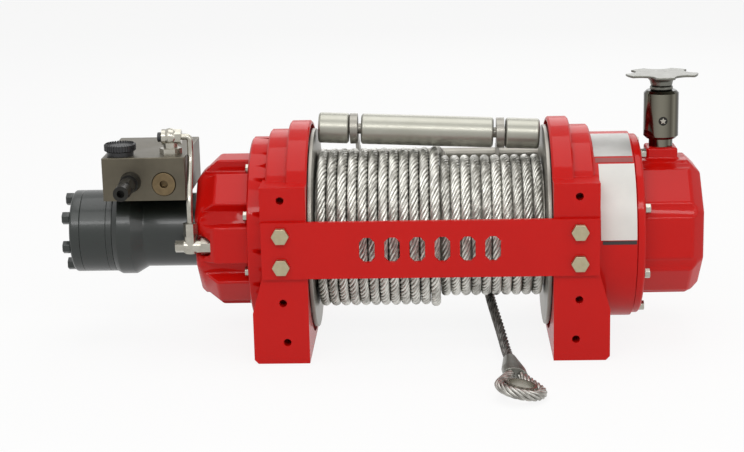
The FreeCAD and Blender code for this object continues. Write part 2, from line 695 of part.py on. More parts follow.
def gear_cover():
    """Ring, and eight-sided cover with bolt channels and the clutch boss."""
    turned(piece("gear_cover_ring"), [
        ("gear_end", "0"),
        ("gear_end", "cover_ring_radius"),
        ("cover_face - edge_bevel", "cover_ring_radius"),
        ("cover_face", "cover_ring_radius - edge_bevel"),
        ("cover_face", "0"),
    ])
    body = piece("gear_cover")
    pad(body, outline(body, "YZ_Plane", eight_sided("cover_flats"), offset="cover_face"),
        "cover_length")
    end = "cover_face + cover_length"
    taper(body,
          outline(body, "YZ_Plane", eight_sided("cover_flats"), offset=end),
          outline(body, "YZ_Plane", eight_sided("cover_end_flats"),
                  offset=end + " + cover_bevel_length"))
    channel = outline(body, "YZ_Plane", bolt_channel(
        "cover_channel_floor", "cover_channel_half", "cover_channel_slope"),
        offset="cover_face")
    cut = pocket(body, channel, "cover_length + cover_bevel_length", forwards=True)
    round_pattern(body, cut, "housing_bolts")
    boss = outline(body, "XY_Plane", [
        ("clutch_place - boss_half", "-boss_half"),
        ("clutch_place + boss_half", "-boss_half"),
        ("clutch_place + boss_half", "boss_half"),
        ("clutch_place - boss_half", "boss_half"),
    ], offset="boss_height")
    pad(body, boss, "boss_height - cover_flats + boss_half / 2", backwards=True)


def housing_bolts(node, seat, circle, direction):
    """Ring of small hexagon heads standing on a face across the drum axis."""
    count = int(size("housing_bolts"))
    bolts = []
    for k in range(count):
        turn = math.radians(22.5) + 2 * math.pi * k / count
        place = Vector(seat, -circle * math.cos(turn), circle * math.sin(turn))
        along = Vector(direction * size("small_bolt_head"), 0, 0)
        bolts.append(hexagon(size("small_bolt_flats"), place, along))
    shaped(node, Part.makeCompound(bolts), size("axis_height"))


def clutch():
    """Barrel on the boss, stem that lifts in it, star knob that turns on the stem."""
    boss = "axis_height + boss_height"
    top = "(barrel_foot_length + clutch_barrel_length)"
    bore = "stem_radius + stem_gap"
    barrel = piece("clutch_barrel", boss, "clutch_place")
    turned(barrel, [
        ("0", "0"),
        ("barrel_foot_radius", "0"),
        ("barrel_foot_radius", "barrel_foot_length"),
        ("clutch_barrel_radius - barrel_bevel", "barrel_foot_length"),
        ("clutch_barrel_radius", "barrel_foot_length + barrel_bevel"),
        ("clutch_barrel_radius", top + " - barrel_bevel"),
        ("clutch_barrel_radius - barrel_bevel", top),
        (bore, top),
        (bore, top + " - stem_depth - 2"),
        ("0", top + " - stem_depth - 2"),
    ], axis="V_Axis")
    side_hole = circles(barrel, "XZ_Plane", [
        ("0", "set_screw_height", "set_screw_radius + thread_gap")],
        offset="clutch_barrel_radius + 1")
    pocket(barrel, side_hole, "set_screw_hole + 1")

    screw = piece("clutch_set_screw", boss, "clutch_place")
    face = circles(screw, "XZ_Plane", [("0", "set_screw_height", "set_screw_radius")],
                   offset="clutch_barrel_radius - set_screw_hole + thread_gap")
    pad(screw, face, "set_screw_hole - set_screw_sink - thread_gap")
    socket = circles(screw, "XZ_Plane", [("0", "set_screw_height", "set_screw_radius / 2")],
                     offset="clutch_barrel_radius - set_screw_sink")
    pocket(screw, socket, "set_screw_socket")

    stem = piece("clutch_stem", boss, "clutch_place")
    collar = top + " + seat_gap"
    pin_top = top + " + stem_collar_height + knob_height / 2"
    turned(stem, [
        ("0", top + " - stem_depth"),
        ("stem_radius", top + " - stem_depth"),
        ("stem_radius", collar),
        ("stem_collar_radius - 1", collar),
        ("stem_collar_radius", collar + " + 1"),
        ("stem_collar_radius", top + " + stem_collar_height - 1"),
        ("stem_collar_radius - 1", top + " + stem_collar_height"),
        ("knob_pin_radius", top + " + stem_collar_height"),
        ("knob_pin_radius", pin_top),
        ("0", pin_top),
    ], axis="V_Axis")

    knob = piece("clutch_knob", boss + " + barrel_foot_length + clutch_barrel_length"
                 " + stem_collar_height + seat_gap", "clutch_place")
    disc = circles(knob, "XY_Plane", [("0", "0", "knob_radius")],
                   offset="knob_height - knob_disc")
    pad(knob, disc, "knob_disc")
    scallop = circles(knob, "XY_Plane", [
        ("0", "knob_valley + knob_radius * 0.42", "knob_radius * 0.42")],
        offset="knob_height + 1")
    cut = pocket(knob, scallop, "knob_disc + 2")
    round_pattern(knob, cut, "knob_lobes", axis="Z_Axis")
    turned(knob, [
        ("0", "0"),
        ("stem_collar_radius - 1", "0"),
        ("stem_collar_radius", "knob_height * 0.35"),
        ("stem_collar_radius + 3", "knob_height * 0.62"),
        ("knob_valley - 7", "knob_height - knob_disc"),
        ("0", "knob_height - knob_disc"),
    ], axis="V_Axis")
    hole = circles(knob, "XY_Plane", [("0", "0", "knob_pin_radius + stem_gap")])
    pocket(knob, hole, "knob_height / 2 + 1", forwards=True)


def roller():
    """Pressure roller in three sleeves on a shaft, two arms and their pivot rod."""
    height = "axis_height + roller_mid_height"
    place = "roller_step_place"
    left_arm = "(-arm_left_place - roller_step_place)"
    right_arm = "(arm_right_place - roller_step_place)"
    outer = "(arm_eye_width / 2 + arm_outer_gap)"
    inner = "(arm_eye_width / 2 + arm_inner_gap)"
    left_end = "(-roller_half_length - roller_step_place)"
    right_end = "(roller_half_length - roller_step_place)"
    sleeves = [
        ("roller_left_sleeve", left_end, left_arm + " - " + outer),
        ("roller_middle_sleeve", left_arm + " + " + inner, right_arm + " - " + inner),
        ("roller_right_sleeve", right_arm + " + " + outer, right_end),
    ]
    bore = "roller_shaft_radius + roller_gap"
    for node, start, end in sleeves:
        body = piece(node, height, place, tilt="roller_tilt")
        near = [(start, bore)]
        far = [(end, bore)]
        if start == left_end:
            near = [(start + " + cap_recess_depth", bore),
                    (start + " + cap_recess_depth", "cap_recess_radius"),
                    (start, "cap_recess_radius")]
        if end == right_end:
            far = [(end, "cap_recess_radius"),
                   (end + " - cap_recess_depth", "cap_recess_radius"),
                   (end + " - cap_recess_depth", bore)]
        turned(body, near + [
            (start, "roller_radius - edge_bevel"),
            (start + " + edge_bevel", "roller_radius"),
            (end + " - edge_bevel", "roller_radius"),
            (end, "roller_radius - edge_bevel"),
        ] + far)
    shaft = piece("roller_shaft", height, place, tilt="roller_tilt")
    turned(shaft, [
        (left_end + " + shaft_cap_inset", "0"),
        (left_end + " + shaft_cap_inset", "shaft_cap_radius"),
        (left_end + " + shaft_cap_inset + shaft_cap_width", "shaft_cap_radius"),
        (left_end + " + shaft_cap_inset + shaft_cap_width", "roller_shaft_radius"),
        (right_end + " - shaft_cap_inset - shaft_cap_width", "roller_shaft_radius"),
        (right_end + " - shaft_cap_inset - shaft_cap_width", "shaft_cap_radius"),
        (right_end + " - shaft_cap_inset", "shaft_cap_radius"),
        (right_end + " - shaft_cap_inset", "0"),
    ])
    slope = "tan(roller_tilt * 1 deg)"
    for node, across in (("roller_arm_left", "-arm_left_place"),
                         ("roller_arm_right", "arm_right_place")):
        eye = "(roller_mid_height - (%s - roller_step_place) * %s)" % (across, slope)
        start = across + " - arm_thickness / 2"
        body = piece(node)
        bar = outline(body, "YZ_Plane", [
            ("0", eye + " - arm_half_width"),
            ("0", eye + " + arm_half_width"),
            ("arm_elbow_depth + arm_half_width * 0.41", "arm_elbow_rise + arm_half_width * 0.94"),
            ("pivot_depth + arm_half_width * 0.58", "pivot_rise + arm_half_width * 0.81"),
            ("pivot_depth - arm_half_width * 0.58", "pivot_rise - arm_half_width * 0.81"),
            ("arm_elbow_depth - arm_half_width * 0.41", "arm_elbow_rise - arm_half_width * 0.94"),
        ], offset=start)
        pad(body, bar, "arm_thickness")
        ring = across + " - arm_eye_width / 2"
        ends = circles(body, "YZ_Plane", [("0", eye, "arm_eye_radius")], offset=ring)
        pad(body, ends, "arm_eye_width")
        boss = circles(body, "YZ_Plane", [("pivot_depth", "pivot_rise", "arm_boss_radius")],
                       offset=start)
        pad(body, boss, "arm_thickness")
        holes = circles(body, "YZ_Plane", [
            ("0", eye, "roller_shaft_radius + arm_eye_gap"),
            ("pivot_depth", "pivot_rise", "pivot_radius + pivot_gap"),
        ], offset=ring)
        pocket(body, holes, "arm_eye_width", forwards=True)
    pivot = piece("roller_pivot_rod")
    end = "(foot_inner + pivot_seat - 0.5)"
    bar = circles(pivot, "YZ_Plane", [("pivot_depth", "pivot_rise", "pivot_radius")],
                  offset="-" + end)
    pad(pivot, bar, "2 * " + end)


def motor():
    """Orbit motor: end cover, gerotor ring, spacer and tapered housing, with bolts."""
    seams = ["motor_end", "gerotor_face", "spacer_face", "body_face"]
    for node, start, end in zip(("motor_end_cover", "motor_gerotor_ring", "motor_spacer"),
                                seams, seams[1:]):
        bevel = "edge_bevel" if node == "motor_end_cover" else "joint_gap / 2"
        turned(piece(node), [
            ("-" + start, "0"),
            ("-" + start, "motor_radius - " + bevel),
            ("-%s + %s" % (start, bevel), "motor_radius"),
            ("-" + end, "motor_radius"),
            ("-" + end, "0"),
        ])
    body = piece("motor_housing")
    turned(body, [
        ("-body_face", "0"),
        ("-body_face", "motor_radius"),
        ("-body_face + motor_shoulder", "motor_body_radius"),
        ("-body_face + motor_body_length", "motor_body_radius"),
        ("-body_face + motor_body_length + motor_taper_length", "motor_neck_radius"),
        ("-brake_end", "motor_neck_radius"),
        ("-brake_end", "0"),
    ])
    seat = outline(body, "XY_Plane", [
        ("-block_left - block_saddle_lap", "-motor_body_radius"),
        ("-block_left + block_length", "-motor_body_radius"),
        ("-block_left + block_length", "motor_body_radius"),
        ("-block_left - block_saddle_lap", "motor_body_radius"),
    ], offset="block_seat")
    pocket(body, seat, "motor_body_radius", forwards=True)

    count = int(size("motor_bolts"))
    heads = []
    for k in range(count):
        turn = 2 * math.pi * k / count - math.radians(size("motor_bolt_turn"))
        circle = size("motor_bolt_circle")
        seat = Vector(-size("motor_end"), -circle * math.cos(turn), circle * math.sin(turn))
        heads.append(hexagon(size("motor_bolt_flats"), seat,
                             Vector(-size("motor_bolt_head"), 0, 0)))
    shaped("motor_end_bolts", Part.makeCompound(heads), size("axis_height"))


def valve_block():
    """Valve block on the motor, with its cap, relief valve and port."""
    body = piece("valve_block", "axis_height + block_seat")
    left = "-block_left"
    box = outline(body, "XY_Plane", [
        (left, "-block_half_depth"),
        (left + " + block_length", "-block_half_depth"),
        (left + " + block_length", "block_half_depth"),
        (left, "block_half_depth"),
    ])
    pad(body, box, "block_tall")
    floor = "(axis_height + block_seat)"
    port = circles(body, "XZ_Plane", [
        ("-port_place", "port_height - " + floor, "port_radius + thread_gap")],
        offset="block_half_depth")
    pocket(body, port, "port_depth")

    plug = piece("port_plug", "port_height", "-port_place")
    pad(plug, circles(plug, "XZ_Plane", [("0", "0", "port_radius")],
                      offset="block_half_depth - port_depth + thread_gap"),
        "port_depth + port_stand - thread_gap")
    pocket(plug, circles(plug, "XZ_Plane", [("0", "0", "port_radius / 3")],
                         offset="block_half_depth + port_stand"), "port_socket")

    top = floor + " + block_tall"
    cap = piece("valve_cap", top, "-cap_place")
    bind(cap, "Placement.Base.y", "-cap_depth")
    turned(cap, [
        ("0", "0"),
        ("cap_neck_radius", "0"),
        ("cap_neck_radius", "cap_neck_height"),
        ("cap_radius - 1", "cap_neck_height"),
        ("cap_radius", "cap_neck_height + 1"),
        ("cap_radius", "cap_neck_height + cap_height - 1.5"),
        ("cap_radius - 1.5", "cap_neck_height + cap_height"),
        ("0", "cap_neck_height + cap_height"),
    ], axis="V_Axis")

    face = Vector(-size("relief_place"), -size("block_half_depth"), size("relief_height"))
    reach = size("relief_length")
    flats = size("relief_flats")
    body_radius = size("relief_radius")
    base = Part.makeCone(flats * 0.7, body_radius + 2, reach * 0.2, face, Vector(0, -1, 0))
    barrel = rod(body_radius, face, Vector(0, -reach * 0.6, 0))
    nut = hexagon(flats, face + Vector(0, -reach * 0.36, 0), Vector(0, -reach * 0.3, 0))
    tip = rod(body_radius, face + Vector(0, -reach * 0.6, 0), Vector(0, -reach * 0.4, 0))
    socket = rod(body_radius / 2, face + Vector(0, -reach * 0.8, 0), Vector(0, -reach * 0.2, 0))
    relief = base.fuse([barrel, nut, tip]).removeSplitter().cut(socket)
    shaped("relief_valve", relief)


def path_wire(points, share=0.45):
    """Straight runs joined by tangent arcs; returns the wire and the arc radii."""
    points = [Vector(*point) for point in points]
    edges = []
    radii = []
    start = points[0]
    for before, corner, after in zip(points, points[1:], points[2:]):
        back = (before - corner).normalize()
        ahead = (after - corner).normalize()
        half_turn = (math.pi - back.getAngle(ahead)) / 2
        cut = share * min((before - corner).Length, (after - corner).Length)
        radius = cut / math.tan(half_turn)
        inward = (back + ahead).normalize()
        middle = corner + inward * (radius / math.cos(half_turn) - radius)
        edges.append(Part.LineSegment(start, corner + back * cut).toShape())
        edges.append(Part.Arc(corner + back * cut, middle, corner + ahead * cut).toShape())
        radii.append(radius)
        start = corner + ahead * cut
    edges.append(Part.LineSegment(start, points[-1]).toShape())
    return Part.Wire(edges), radii


def tube(wire, radius):
    """Round tube along a wire."""
    edge = wire.OrderedEdges[0]
    start = edge.valueAt(edge.FirstParameter)
    along = edge.tangentAt(edge.FirstParameter)
    section = Part.Wire(Part.makeCircle(radius, start, along))
    return wire.makePipeShell([section], True, True)


def brake_line():
    """Elbow on the valve block, tube, and the tee at the brake housing."""
    top = size("axis_height") + size("block_seat") + size("block_tall")
    line = -size("line_place")
    depth = -size("elbow_depth")
    base = Vector(-size("elbow_place"), depth, top)
    up = Vector(0, 0, size("elbow_rise"))
    right_end = line - size("line_bend") - size("line_sleeve")
    radius = size("elbow_radius")
    hub = base + up
    reach = right_end - hub.x
    foot = hexagon(size("elbow_flats"), base, Vector(0, 0, size("elbow_base")))
    column = rod(radius * 0.9, base, up)
    cross = rod(radius, hub - Vector(radius, 0, 0), Vector(radius + reach * 0.35, 0, 0))
    nut = hexagon(radius * 1.7, hub + Vector(reach * 0.35, 0, 0), Vector(reach * 0.65, 0, 0))
    crown = Part.makeSphere(radius * 1.12, hub)
    shaped("elbow_fitting", foot.fuse([column, cross, nut, crown]).removeSplitter())
    plug_end = hub - Vector(radius * 1.12, 0, 0)
    shaped("elbow_plug", rod(size("elbow_plug_radius"), plug_end,
                             Vector(-size("elbow_plug_length"), 0, 0)))

    tee = Vector(line, -size("tee_depth"), size("axis_height") - size("tee_drop"))
    nut_top = tee + Vector(0, 0, size("tee_nut_rise"))
    straight = size("line_straight")
    route = [
        (right_end, depth, hub.z),
        (line, depth, hub.z),
        (line, depth - 1, hub.z - straight),
        (nut_top.x, nut_top.y, nut_top.z + straight),
        tuple(nut_top),
    ]
    wire, radii = path_wire(route)
    print("brake line radii", [round(radius, 1) for radius in radii])
    shaped("brake_line_tube", tube(wire, size("line_radius")))

    small = size("tee_small_flats")
    body_radius = size("tee_radius")
    width = size("tee_nut_width")
    nut_start = size("tee_nut_start")
    seat = Vector(-size("port_seat"), tee.y, tee.z)
    across = rod(body_radius, tee - Vector(body_radius, 0, 0),
                 Vector(seat.x - tee.x + body_radius, 0, 0))
    column = rod(body_radius, tee, Vector(0, 0, nut_start + 1))
    upper_nut = hexagon(size("tee_upper_flats"), tee + Vector(0, 0, nut_start),
                        nut_top - tee - Vector(0, 0, nut_start))
    big_nut = hexagon(size("tee_flats"), seat - Vector(width, 0, 0), Vector(width, 0, 0))
    end_plug = hexagon(small, tee - Vector(body_radius + width - 1, 0, 0),
                       Vector(width, 0, 0))
    bottom = rod(body_radius, tee, Vector(0, 0, -body_radius))
    shape = across.fuse([column, upper_nut, big_nut, end_plug, bottom]).removeSplitter()
    shaped("brake_line_tee", shape)


def rope_end():
    """Free end of the rope with its ferrule, eye and thimble, lying in front."""
    rope = size("rope_radius")
    wire, radii = path_wire(TAIL_ROUTE)
    tail = tube(wire, rope)
    print("rope tail radii", [round(radius) for radius in radii])
    print("rope tail volume", round(tail.Volume), "section times length",
          round(math.pi * rope ** 2 * wire.Length), "length", round(wire.Length))
    shaped("rope_tail", tail)

    start = Vector(*TAIL_ROUTE[-1])
    along = (start - Vector(*TAIL_ROUTE[-2])).normalize()
    length = size("ferrule_length")
    end = start + along * length
    band = end - along * size("ferrule_band")
    level = Vector(-along.y, along.x, 0).normalize()
    upright = along.cross(level)
    roll = math.radians(size("eye_roll"))
    wide = level * math.cos(roll) - upright * math.sin(roll)
    tall = upright * math.cos(roll) + level * math.sin(roll)
    half_wide = size("ferrule_width") / 2
    half_tall = size("ferrule_height") / 2

    def oval(centre, across, upward):
        placed = Placement(centre, Rotation(wide, tall, wide.cross(tall), "ZXY"))
        ring = Part.Wire(Part.Ellipse(Vector(), across, upward).toShape())
        ring.Placement = placed
        return ring

    neck = size("ferrule_neck_radius")
    cone = Part.makeLoft([oval(start, neck + 0.01, neck),
                          oval(band, half_wide, half_tall)], True)
    collar = Part.makeLoft([oval(band, half_wide, half_tall),
                            oval(end, half_wide, half_tall)], True)
    shaped("rope_ferrule", cone.fuse(collar).removeSplitter())

    frame = Placement(end, Rotation(along, wide, along.cross(wide), "ZXY"))
    bend = size("eye_radius")
    middle = size("eye_length")
    spread = size("leg_spread")

    reach = math.hypot(middle, spread)
    lean = math.asin(bend / reach) - math.atan2(spread, middle)
    entry = Vector(middle - bend * math.sin(lean), -bend * math.cos(lean), 0)
    leave = Vector(entry.x, -entry.y, 0)
    back = size("leg_start")
    first = Vector(-back, back * math.tan(lean) - spread, 0)
    last = Vector(-back, -first.y, 0)
    loop = Part.Wire([
        Part.LineSegment(first, entry).toShape(),
        Part.Arc(entry, Vector(middle + bend, 0, 0), leave).toShape(),
        Part.LineSegment(leave, last).toShape()])
    block = 2 * (bend + rope)
    behind = Part.makeBox(block, 2 * block, block,
                          Vector(size("seat_gap") - block, -block, -block / 2))
    shaped("rope_eye", tube(loop, rope).cut(behind).transformed(frame.toMatrix(), True))
    inner = rope + size("seat_gap")
    wall = size("thimble_wall")
    half_width = size("thimble_width") / 2
    outside = Part.makeCylinder(bend - inner, 2 * half_width, Vector(middle, 0, -half_width))
    inside = Part.makeCylinder(bend - inner - wall, 2 * half_width, Vector(middle, 0, -half_width))
    shaped("rope_thimble", outside.cut(inside).transformed(frame.toMatrix(), True))


support("drum_support_motor_side", "-")
support("drum_support_gear_side", "")
tie_plate()
tie_plate_bolts()
drum()
wound_rope()
brake_housing()
gear_housing()
gear_cover()
housing_bolts("brake_housing_bolts", -size("brake_shoulder"), size("brake_bolt_circle"), -1)
housing_bolts("gear_cover_bolts", size("cover_face"), size("cover_bolt_circle"), 1)
clutch()
roller()
motor()
valve_block()
brake_line()
rope_end()
document.recompute()

failed = [thing.Label for thing in document.Objects
          if "Invalid" in thing.State or "Error" in thing.State]
failed += [node for node, feature in NODES.items()
           if feature.Shape.isNull() or not feature.Shape.isValid()]
if failed:
    raise RuntimeError("failed: " + ", ".join(failed))

os.makedirs("parts", exist_ok=True)
for node, feature in NODES.items():
    print(node, len(feature.Shape.Solids), round(feature.Shape.Volume / 1000), "cm3")
    feature.Shape.exportStep("parts/%s.step" % node)
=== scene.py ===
"""Hydraulic rope winch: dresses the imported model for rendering.

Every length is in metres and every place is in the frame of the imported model:
X along the drum axis, -Y the front with the tie plate, +Z up, floor at zero.
"""
import json
import logging
import math
from dataclasses import dataclass
from enum import Enum
from typing import Any, ClassVar, Iterable, Optional, Sequence

import bmesh
import bpy
from mathutils import Matrix, Vector


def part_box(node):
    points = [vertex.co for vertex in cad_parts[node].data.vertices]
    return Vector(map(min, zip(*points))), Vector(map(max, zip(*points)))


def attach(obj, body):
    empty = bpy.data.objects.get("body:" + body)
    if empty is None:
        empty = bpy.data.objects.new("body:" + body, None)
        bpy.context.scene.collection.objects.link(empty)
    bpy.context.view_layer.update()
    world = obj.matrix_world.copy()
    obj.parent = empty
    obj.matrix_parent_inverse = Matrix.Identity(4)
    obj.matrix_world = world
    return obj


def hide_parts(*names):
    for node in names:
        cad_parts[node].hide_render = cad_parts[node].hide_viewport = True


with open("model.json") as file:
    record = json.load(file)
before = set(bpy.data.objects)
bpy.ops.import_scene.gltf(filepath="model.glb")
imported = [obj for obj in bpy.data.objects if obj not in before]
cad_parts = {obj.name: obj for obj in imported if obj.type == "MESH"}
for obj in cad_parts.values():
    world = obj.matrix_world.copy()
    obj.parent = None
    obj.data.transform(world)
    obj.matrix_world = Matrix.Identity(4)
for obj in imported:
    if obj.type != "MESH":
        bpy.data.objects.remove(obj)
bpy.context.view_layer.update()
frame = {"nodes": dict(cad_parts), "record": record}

log = logging.getLogger("winch")
MM = 0.001
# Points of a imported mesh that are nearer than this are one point.
SAME_POINT = 0.002 * MM
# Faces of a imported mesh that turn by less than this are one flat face.
FLAT_DEGREES = 0.6
# Six strands round a core: middle and radius of a strand as shares of the rope's radius.
STRAND_PLACE = 0.655
STRAND_SIZE = 0.345
BODY_OF = {node: body for body, nodes in frame["record"]["behaviour"]["bodies"].items()
           for node in nodes}


class Axis(Enum):
    """Direction across which brushing marks are fine."""

    X = 0
    Y = 1
    Z = 2


def linear(colour: str) -> tuple[float, float, float, float]:
    """Turn an sRGB hex colour into linear red, green, blue and alpha.

    Args:
        colour: Six hex digits after a hash sign.

    Returns:
        The linear colour with alpha one.
    """
    parts = [int(colour[k:k + 2], 16) / 255 for k in (1, 3, 5)]
    low = [c / 12.92 if c <= 0.04045 else ((c + 0.055) / 1.055) ** 2.4 for c in parts]
    return (low[0], low[1], low[2], 1.0)


def add_node(tree: bpy.types.NodeTree, kind: str, inputs: Optional[dict] = None,
             **settings: Any) -> bpy.types.Node:
    """Add a shader node with its settings and links.

    Args:
        tree: Node tree that gets the node.
        kind: Node type name.
        inputs: Socket name or number to a value, or to an output to link from.
        settings: Properties of the node.

    Returns:
        The new node.
    """
    made = tree.nodes.new(kind)
    for name, value in settings.items():
        setattr(made, name, value)
    for name, value in (inputs or {}).items():
        if isinstance(value, bpy.types.NodeSocket):
            tree.links.new(value, made.inputs[name])
        else:
            made.inputs[name].default_value = value
    return made


@dataclass(frozen=True)
class Finish:
    """A real finish, and the shader that shows it."""

    name: str
    colour: str
    shade: str
    metallic: float = 0.0
    roughness: float = 0.4
    coat: float = 0.0
    coat_roughness: float = 0.08
    specular: float = 0.5
    grain_mm: float = 1.0
    grain_height_mm: float = 0.01
    grain_detail: float = 2.0
    patch_mm: float = 40.0
    patch_detail: float = 3.0
    gloss_spread: float = 0.05
    made: ClassVar[dict[str, bpy.types.Material]] = {}

    def material(self) -> bpy.types.Material:
        """Return the material, built on first use."""
        if self.name not in Finish.made:
            material = bpy.data.materials.new(self.name)
            material.use_nodes = True
            tree = material.node_tree
            shader = tree.nodes["Principled BSDF"]
            shader.inputs["Base Color"].default_value = linear(self.colour)
            shader.inputs["Metallic"].default_value = self.metallic
            shader.inputs["Roughness"].default_value = self.roughness
            shader.inputs["Coat Weight"].default_value = self.coat
            shader.inputs["Coat Roughness"].default_value = self.coat_roughness
            shader.inputs["Specular IOR Level"].default_value = self.specular
            if not self.metallic:
                shader.inputs["IOR"].default_value = 1.5
            self.pattern(tree, shader)
            Finish.made[self.name] = material
        return Finish.made[self.name]

    def pattern(self, tree: bpy.types.NodeTree, shader: bpy.types.Node) -> None:
        """Add patchy colour, patchy roughness and a fine grain.

        Args:
            tree: Node tree of the material.
            shader: Its Principled shader.
        """
        place = add_node(tree, "ShaderNodeTexCoord").outputs["Object"]
        patches = self.noise(tree, place, self.patch_mm, self.patch_detail)
        self.tint(tree, shader, patches)
        self.gloss(tree, shader, patches)
        grain = self.noise(tree, place, self.grain_mm, self.grain_detail)
        self.bump(tree, shader, grain, self.grain_height_mm)

    def noise(self, tree: bpy.types.NodeTree, place: bpy.types.NodeSocket, size_mm: float,
              detail: float) -> bpy.types.NodeSocket:
        """Add a noise.

        Args:
            tree: Node tree of the material.
            place: Coordinates that it reads.
            size_mm: Rough width of its features.
            detail: Number of finer layers in it.

        Returns:
            The noise, from zero to one.
        """
        texture = add_node(tree, "ShaderNodeTexNoise", {
            "Vector": place, "Scale": 1 / (size_mm * MM), "Detail": detail})
        return texture.outputs["Fac"]

    def tint(self, tree: bpy.types.NodeTree, shader: bpy.types.Node,
             amount: bpy.types.NodeSocket) -> None:
        """Blend from the colour to its shade.

        Args:
            tree: Node tree of the material.
            shader: Its Principled shader.
            amount: Share of the shade.
        """
        mix = add_node(tree, "ShaderNodeMix", {"Factor": amount}, data_type="RGBA")
        # the colour sockets of this node share their names with hidden number sockets
        for socket in mix.inputs:
            if socket.type == "RGBA":
                socket.default_value = linear(
                    self.colour if socket.name == "A" else self.shade)
        tree.links.new(next(s for s in mix.outputs if s.type == "RGBA"),
                       shader.inputs["Base Color"])

    def gloss(self, tree: bpy.types.NodeTree, shader: bpy.types.Node,
              amount: bpy.types.NodeSocket) -> None:
        """Let the roughness vary.

        Args:
            tree: Node tree of the material.
            shader: Its Principled shader.
            amount: Pattern that it follows.
        """
        span = add_node(tree, "ShaderNodeMapRange", {
            "Value": amount, "To Min": max(self.roughness - self.gloss_spread, 0.02),
            "To Max": self.roughness + self.gloss_spread})
        tree.links.new(span.outputs["Result"], shader.inputs["Roughness"])

    def bump(self, tree: bpy.types.NodeTree, shader: bpy.types.Node,
             height: bpy.types.NodeSocket, depth_mm: float) -> None:
        """Raise the surface by a height map.

        Args:
            tree: Node tree of the material.
            shader: Its Principled shader.
            height: The map, from zero to one.
            depth_mm: Height of the relief.
        """
        made = add_node(tree, "ShaderNodeBump", {
            "Height": height, "Strength": 1.0, "Distance": depth_mm * MM})
        tree.links.new(made.outputs["Normal"], shader.inputs["Normal"])


@dataclass(frozen=True)
class Brushed(Finish):
    """Metal with fine marks left by turning, drawing or milling."""

    across: Axis = Axis.X
    mark_mm: float = 0.5
    mark_height_mm: float = 0.006
    mark_detail: float = 3.0
    stretched: float = 0.02
    gloss_spread: float = 0.1

    def pattern(self, tree: bpy.types.NodeTree, shader: bpy.types.Node) -> None:
        """Stretch a noise into marks, and mottle the metal.

        Args:
            tree: Node tree of the material.
            shader: Its Principled shader.
        """
        place = add_node(tree, "ShaderNodeTexCoord").outputs["Object"]
        stretch = [self.stretched] * 3
        stretch[self.across.value] = 1.0
        lined = add_node(tree, "ShaderNodeMapping", {"Vector": place, "Scale": stretch})
        marks = self.noise(tree, lined.outputs["Vector"], self.mark_mm, self.mark_detail)
        patches = self.noise(tree, place, self.patch_mm, self.patch_detail)
        self.tint(tree, shader, patches)
        self.gloss(tree, shader, marks)
        self.bump(tree, shader, marks, self.mark_height_mm)


@dataclass(frozen=True)
class Mirror(Brushed):
    """Mirror-bright plating whose colour carries painted reflection: bands of painted shade
    and painted highlight, set by how far the surface turns away.
    """

    # grazing colour and band places of the painted reflection, as shares of the facing
    edge: str = "#34332E"
    painted_shade_bands_at: tuple[float, float] = (0.18, 0.5)
    painted_highlight_at: float = 0.34
    painted_edge_from: float = 0.68

    def tint(self, tree: bpy.types.NodeTree, shader: bpy.types.Node,
             amount: bpy.types.NodeSocket) -> None:
        """Paint reflection bands into the colour: painted shade and painted highlight, set
        by how far the surface turns away.

        Args:
            tree: Node tree of the material.
            shader: Its Principled shader.
            amount: Pattern of other finishes, which a mirror doesn't need.
        """
        turned = add_node(tree, "ShaderNodeLayerWeight", {"Blend": 0.5})
        ramp = add_node(tree, "ShaderNodeValToRGB", {"Fac": turned.outputs["Facing"]})
        bands = ramp.color_ramp.elements
        bands[0].color = linear(self.colour)
        bands[1].color = linear(self.edge)
        for place, colour in ((self.painted_shade_bands_at[0], self.shade), (self.painted_highlight_at, self.colour),
                              (self.painted_shade_bands_at[1], self.shade), (self.painted_edge_from, self.edge)):
            bands.new(place).color = linear(colour)
        tree.links.new(ramp.outputs["Color"], shader.inputs["Base Color"])


@dataclass(frozen=True)
class DrawnWire(Finish):
    """Strand of fine galvanised wires, which follow the strand in a long twist."""

    wires: float = 9.0
    twist: float = 1.6
    wire_height_mm: float = 0.16
    ridge_share: float = 0.45
    bright_crown_from: float = 0.95
    painted_shade_below: float = 0.35
    patch_detail: float = 4.0
    gloss_spread: float = 0.08

    def pattern(self, tree: bpy.types.NodeTree, shader: bpy.types.Node) -> None:
        """Draw the wires as ridges on the strand's own map, with painted shade in the
        creases between them and random patches of tone.

        Args:
            tree: Node tree of the material.
            shader: Its Principled shader.
        """
        chart = add_node(tree, "ShaderNodeUVMap", uv_map="strand")
        split = add_node(tree, "ShaderNodeSeparateXYZ", {"Vector": chart.outputs["UV"]})
        round_part = add_node(tree, "ShaderNodeMath", {
            0: split.outputs["X"], 1: self.wires}, operation="MULTIPLY")
        along_part = add_node(tree, "ShaderNodeMath", {
            0: split.outputs["Y"], 1: self.twist, 2: round_part.outputs[0]},
            operation="MULTIPLY_ADD")
        turn = add_node(tree, "ShaderNodeMath", {
            0: along_part.outputs[0], 1: math.tau}, operation="MULTIPLY")
        wave = add_node(tree, "ShaderNodeMath", {0: turn.outputs[0]}, operation="COSINE")
        ridge = add_node(tree, "ShaderNodeMapRange", {
            "Value": wave.outputs[0], "From Min": -1.0, "From Max": 1.0})
        place = add_node(tree, "ShaderNodeTexCoord").outputs["Object"]
        patches = self.noise(tree, place, self.patch_mm, self.patch_detail)
        # painted shade in the creases between the wires, mixed with random patches of tone
        crease_shade_and_tone = add_node(tree, "ShaderNodeMath", {
            0: ridge.outputs["Result"], 1: self.ridge_share, 2: patches},
            operation="MULTIPLY_ADD")
        level = add_node(tree, "ShaderNodeMapRange", {
            "Value": crease_shade_and_tone.outputs[0], "From Min": self.bright_crown_from,
            "From Max": self.painted_shade_below})
        self.tint(tree, shader, level.outputs["Result"])
        self.gloss(tree, shader, patches)
        self.bump(tree, shader, ridge.outputs["Result"], self.wire_height_mm)


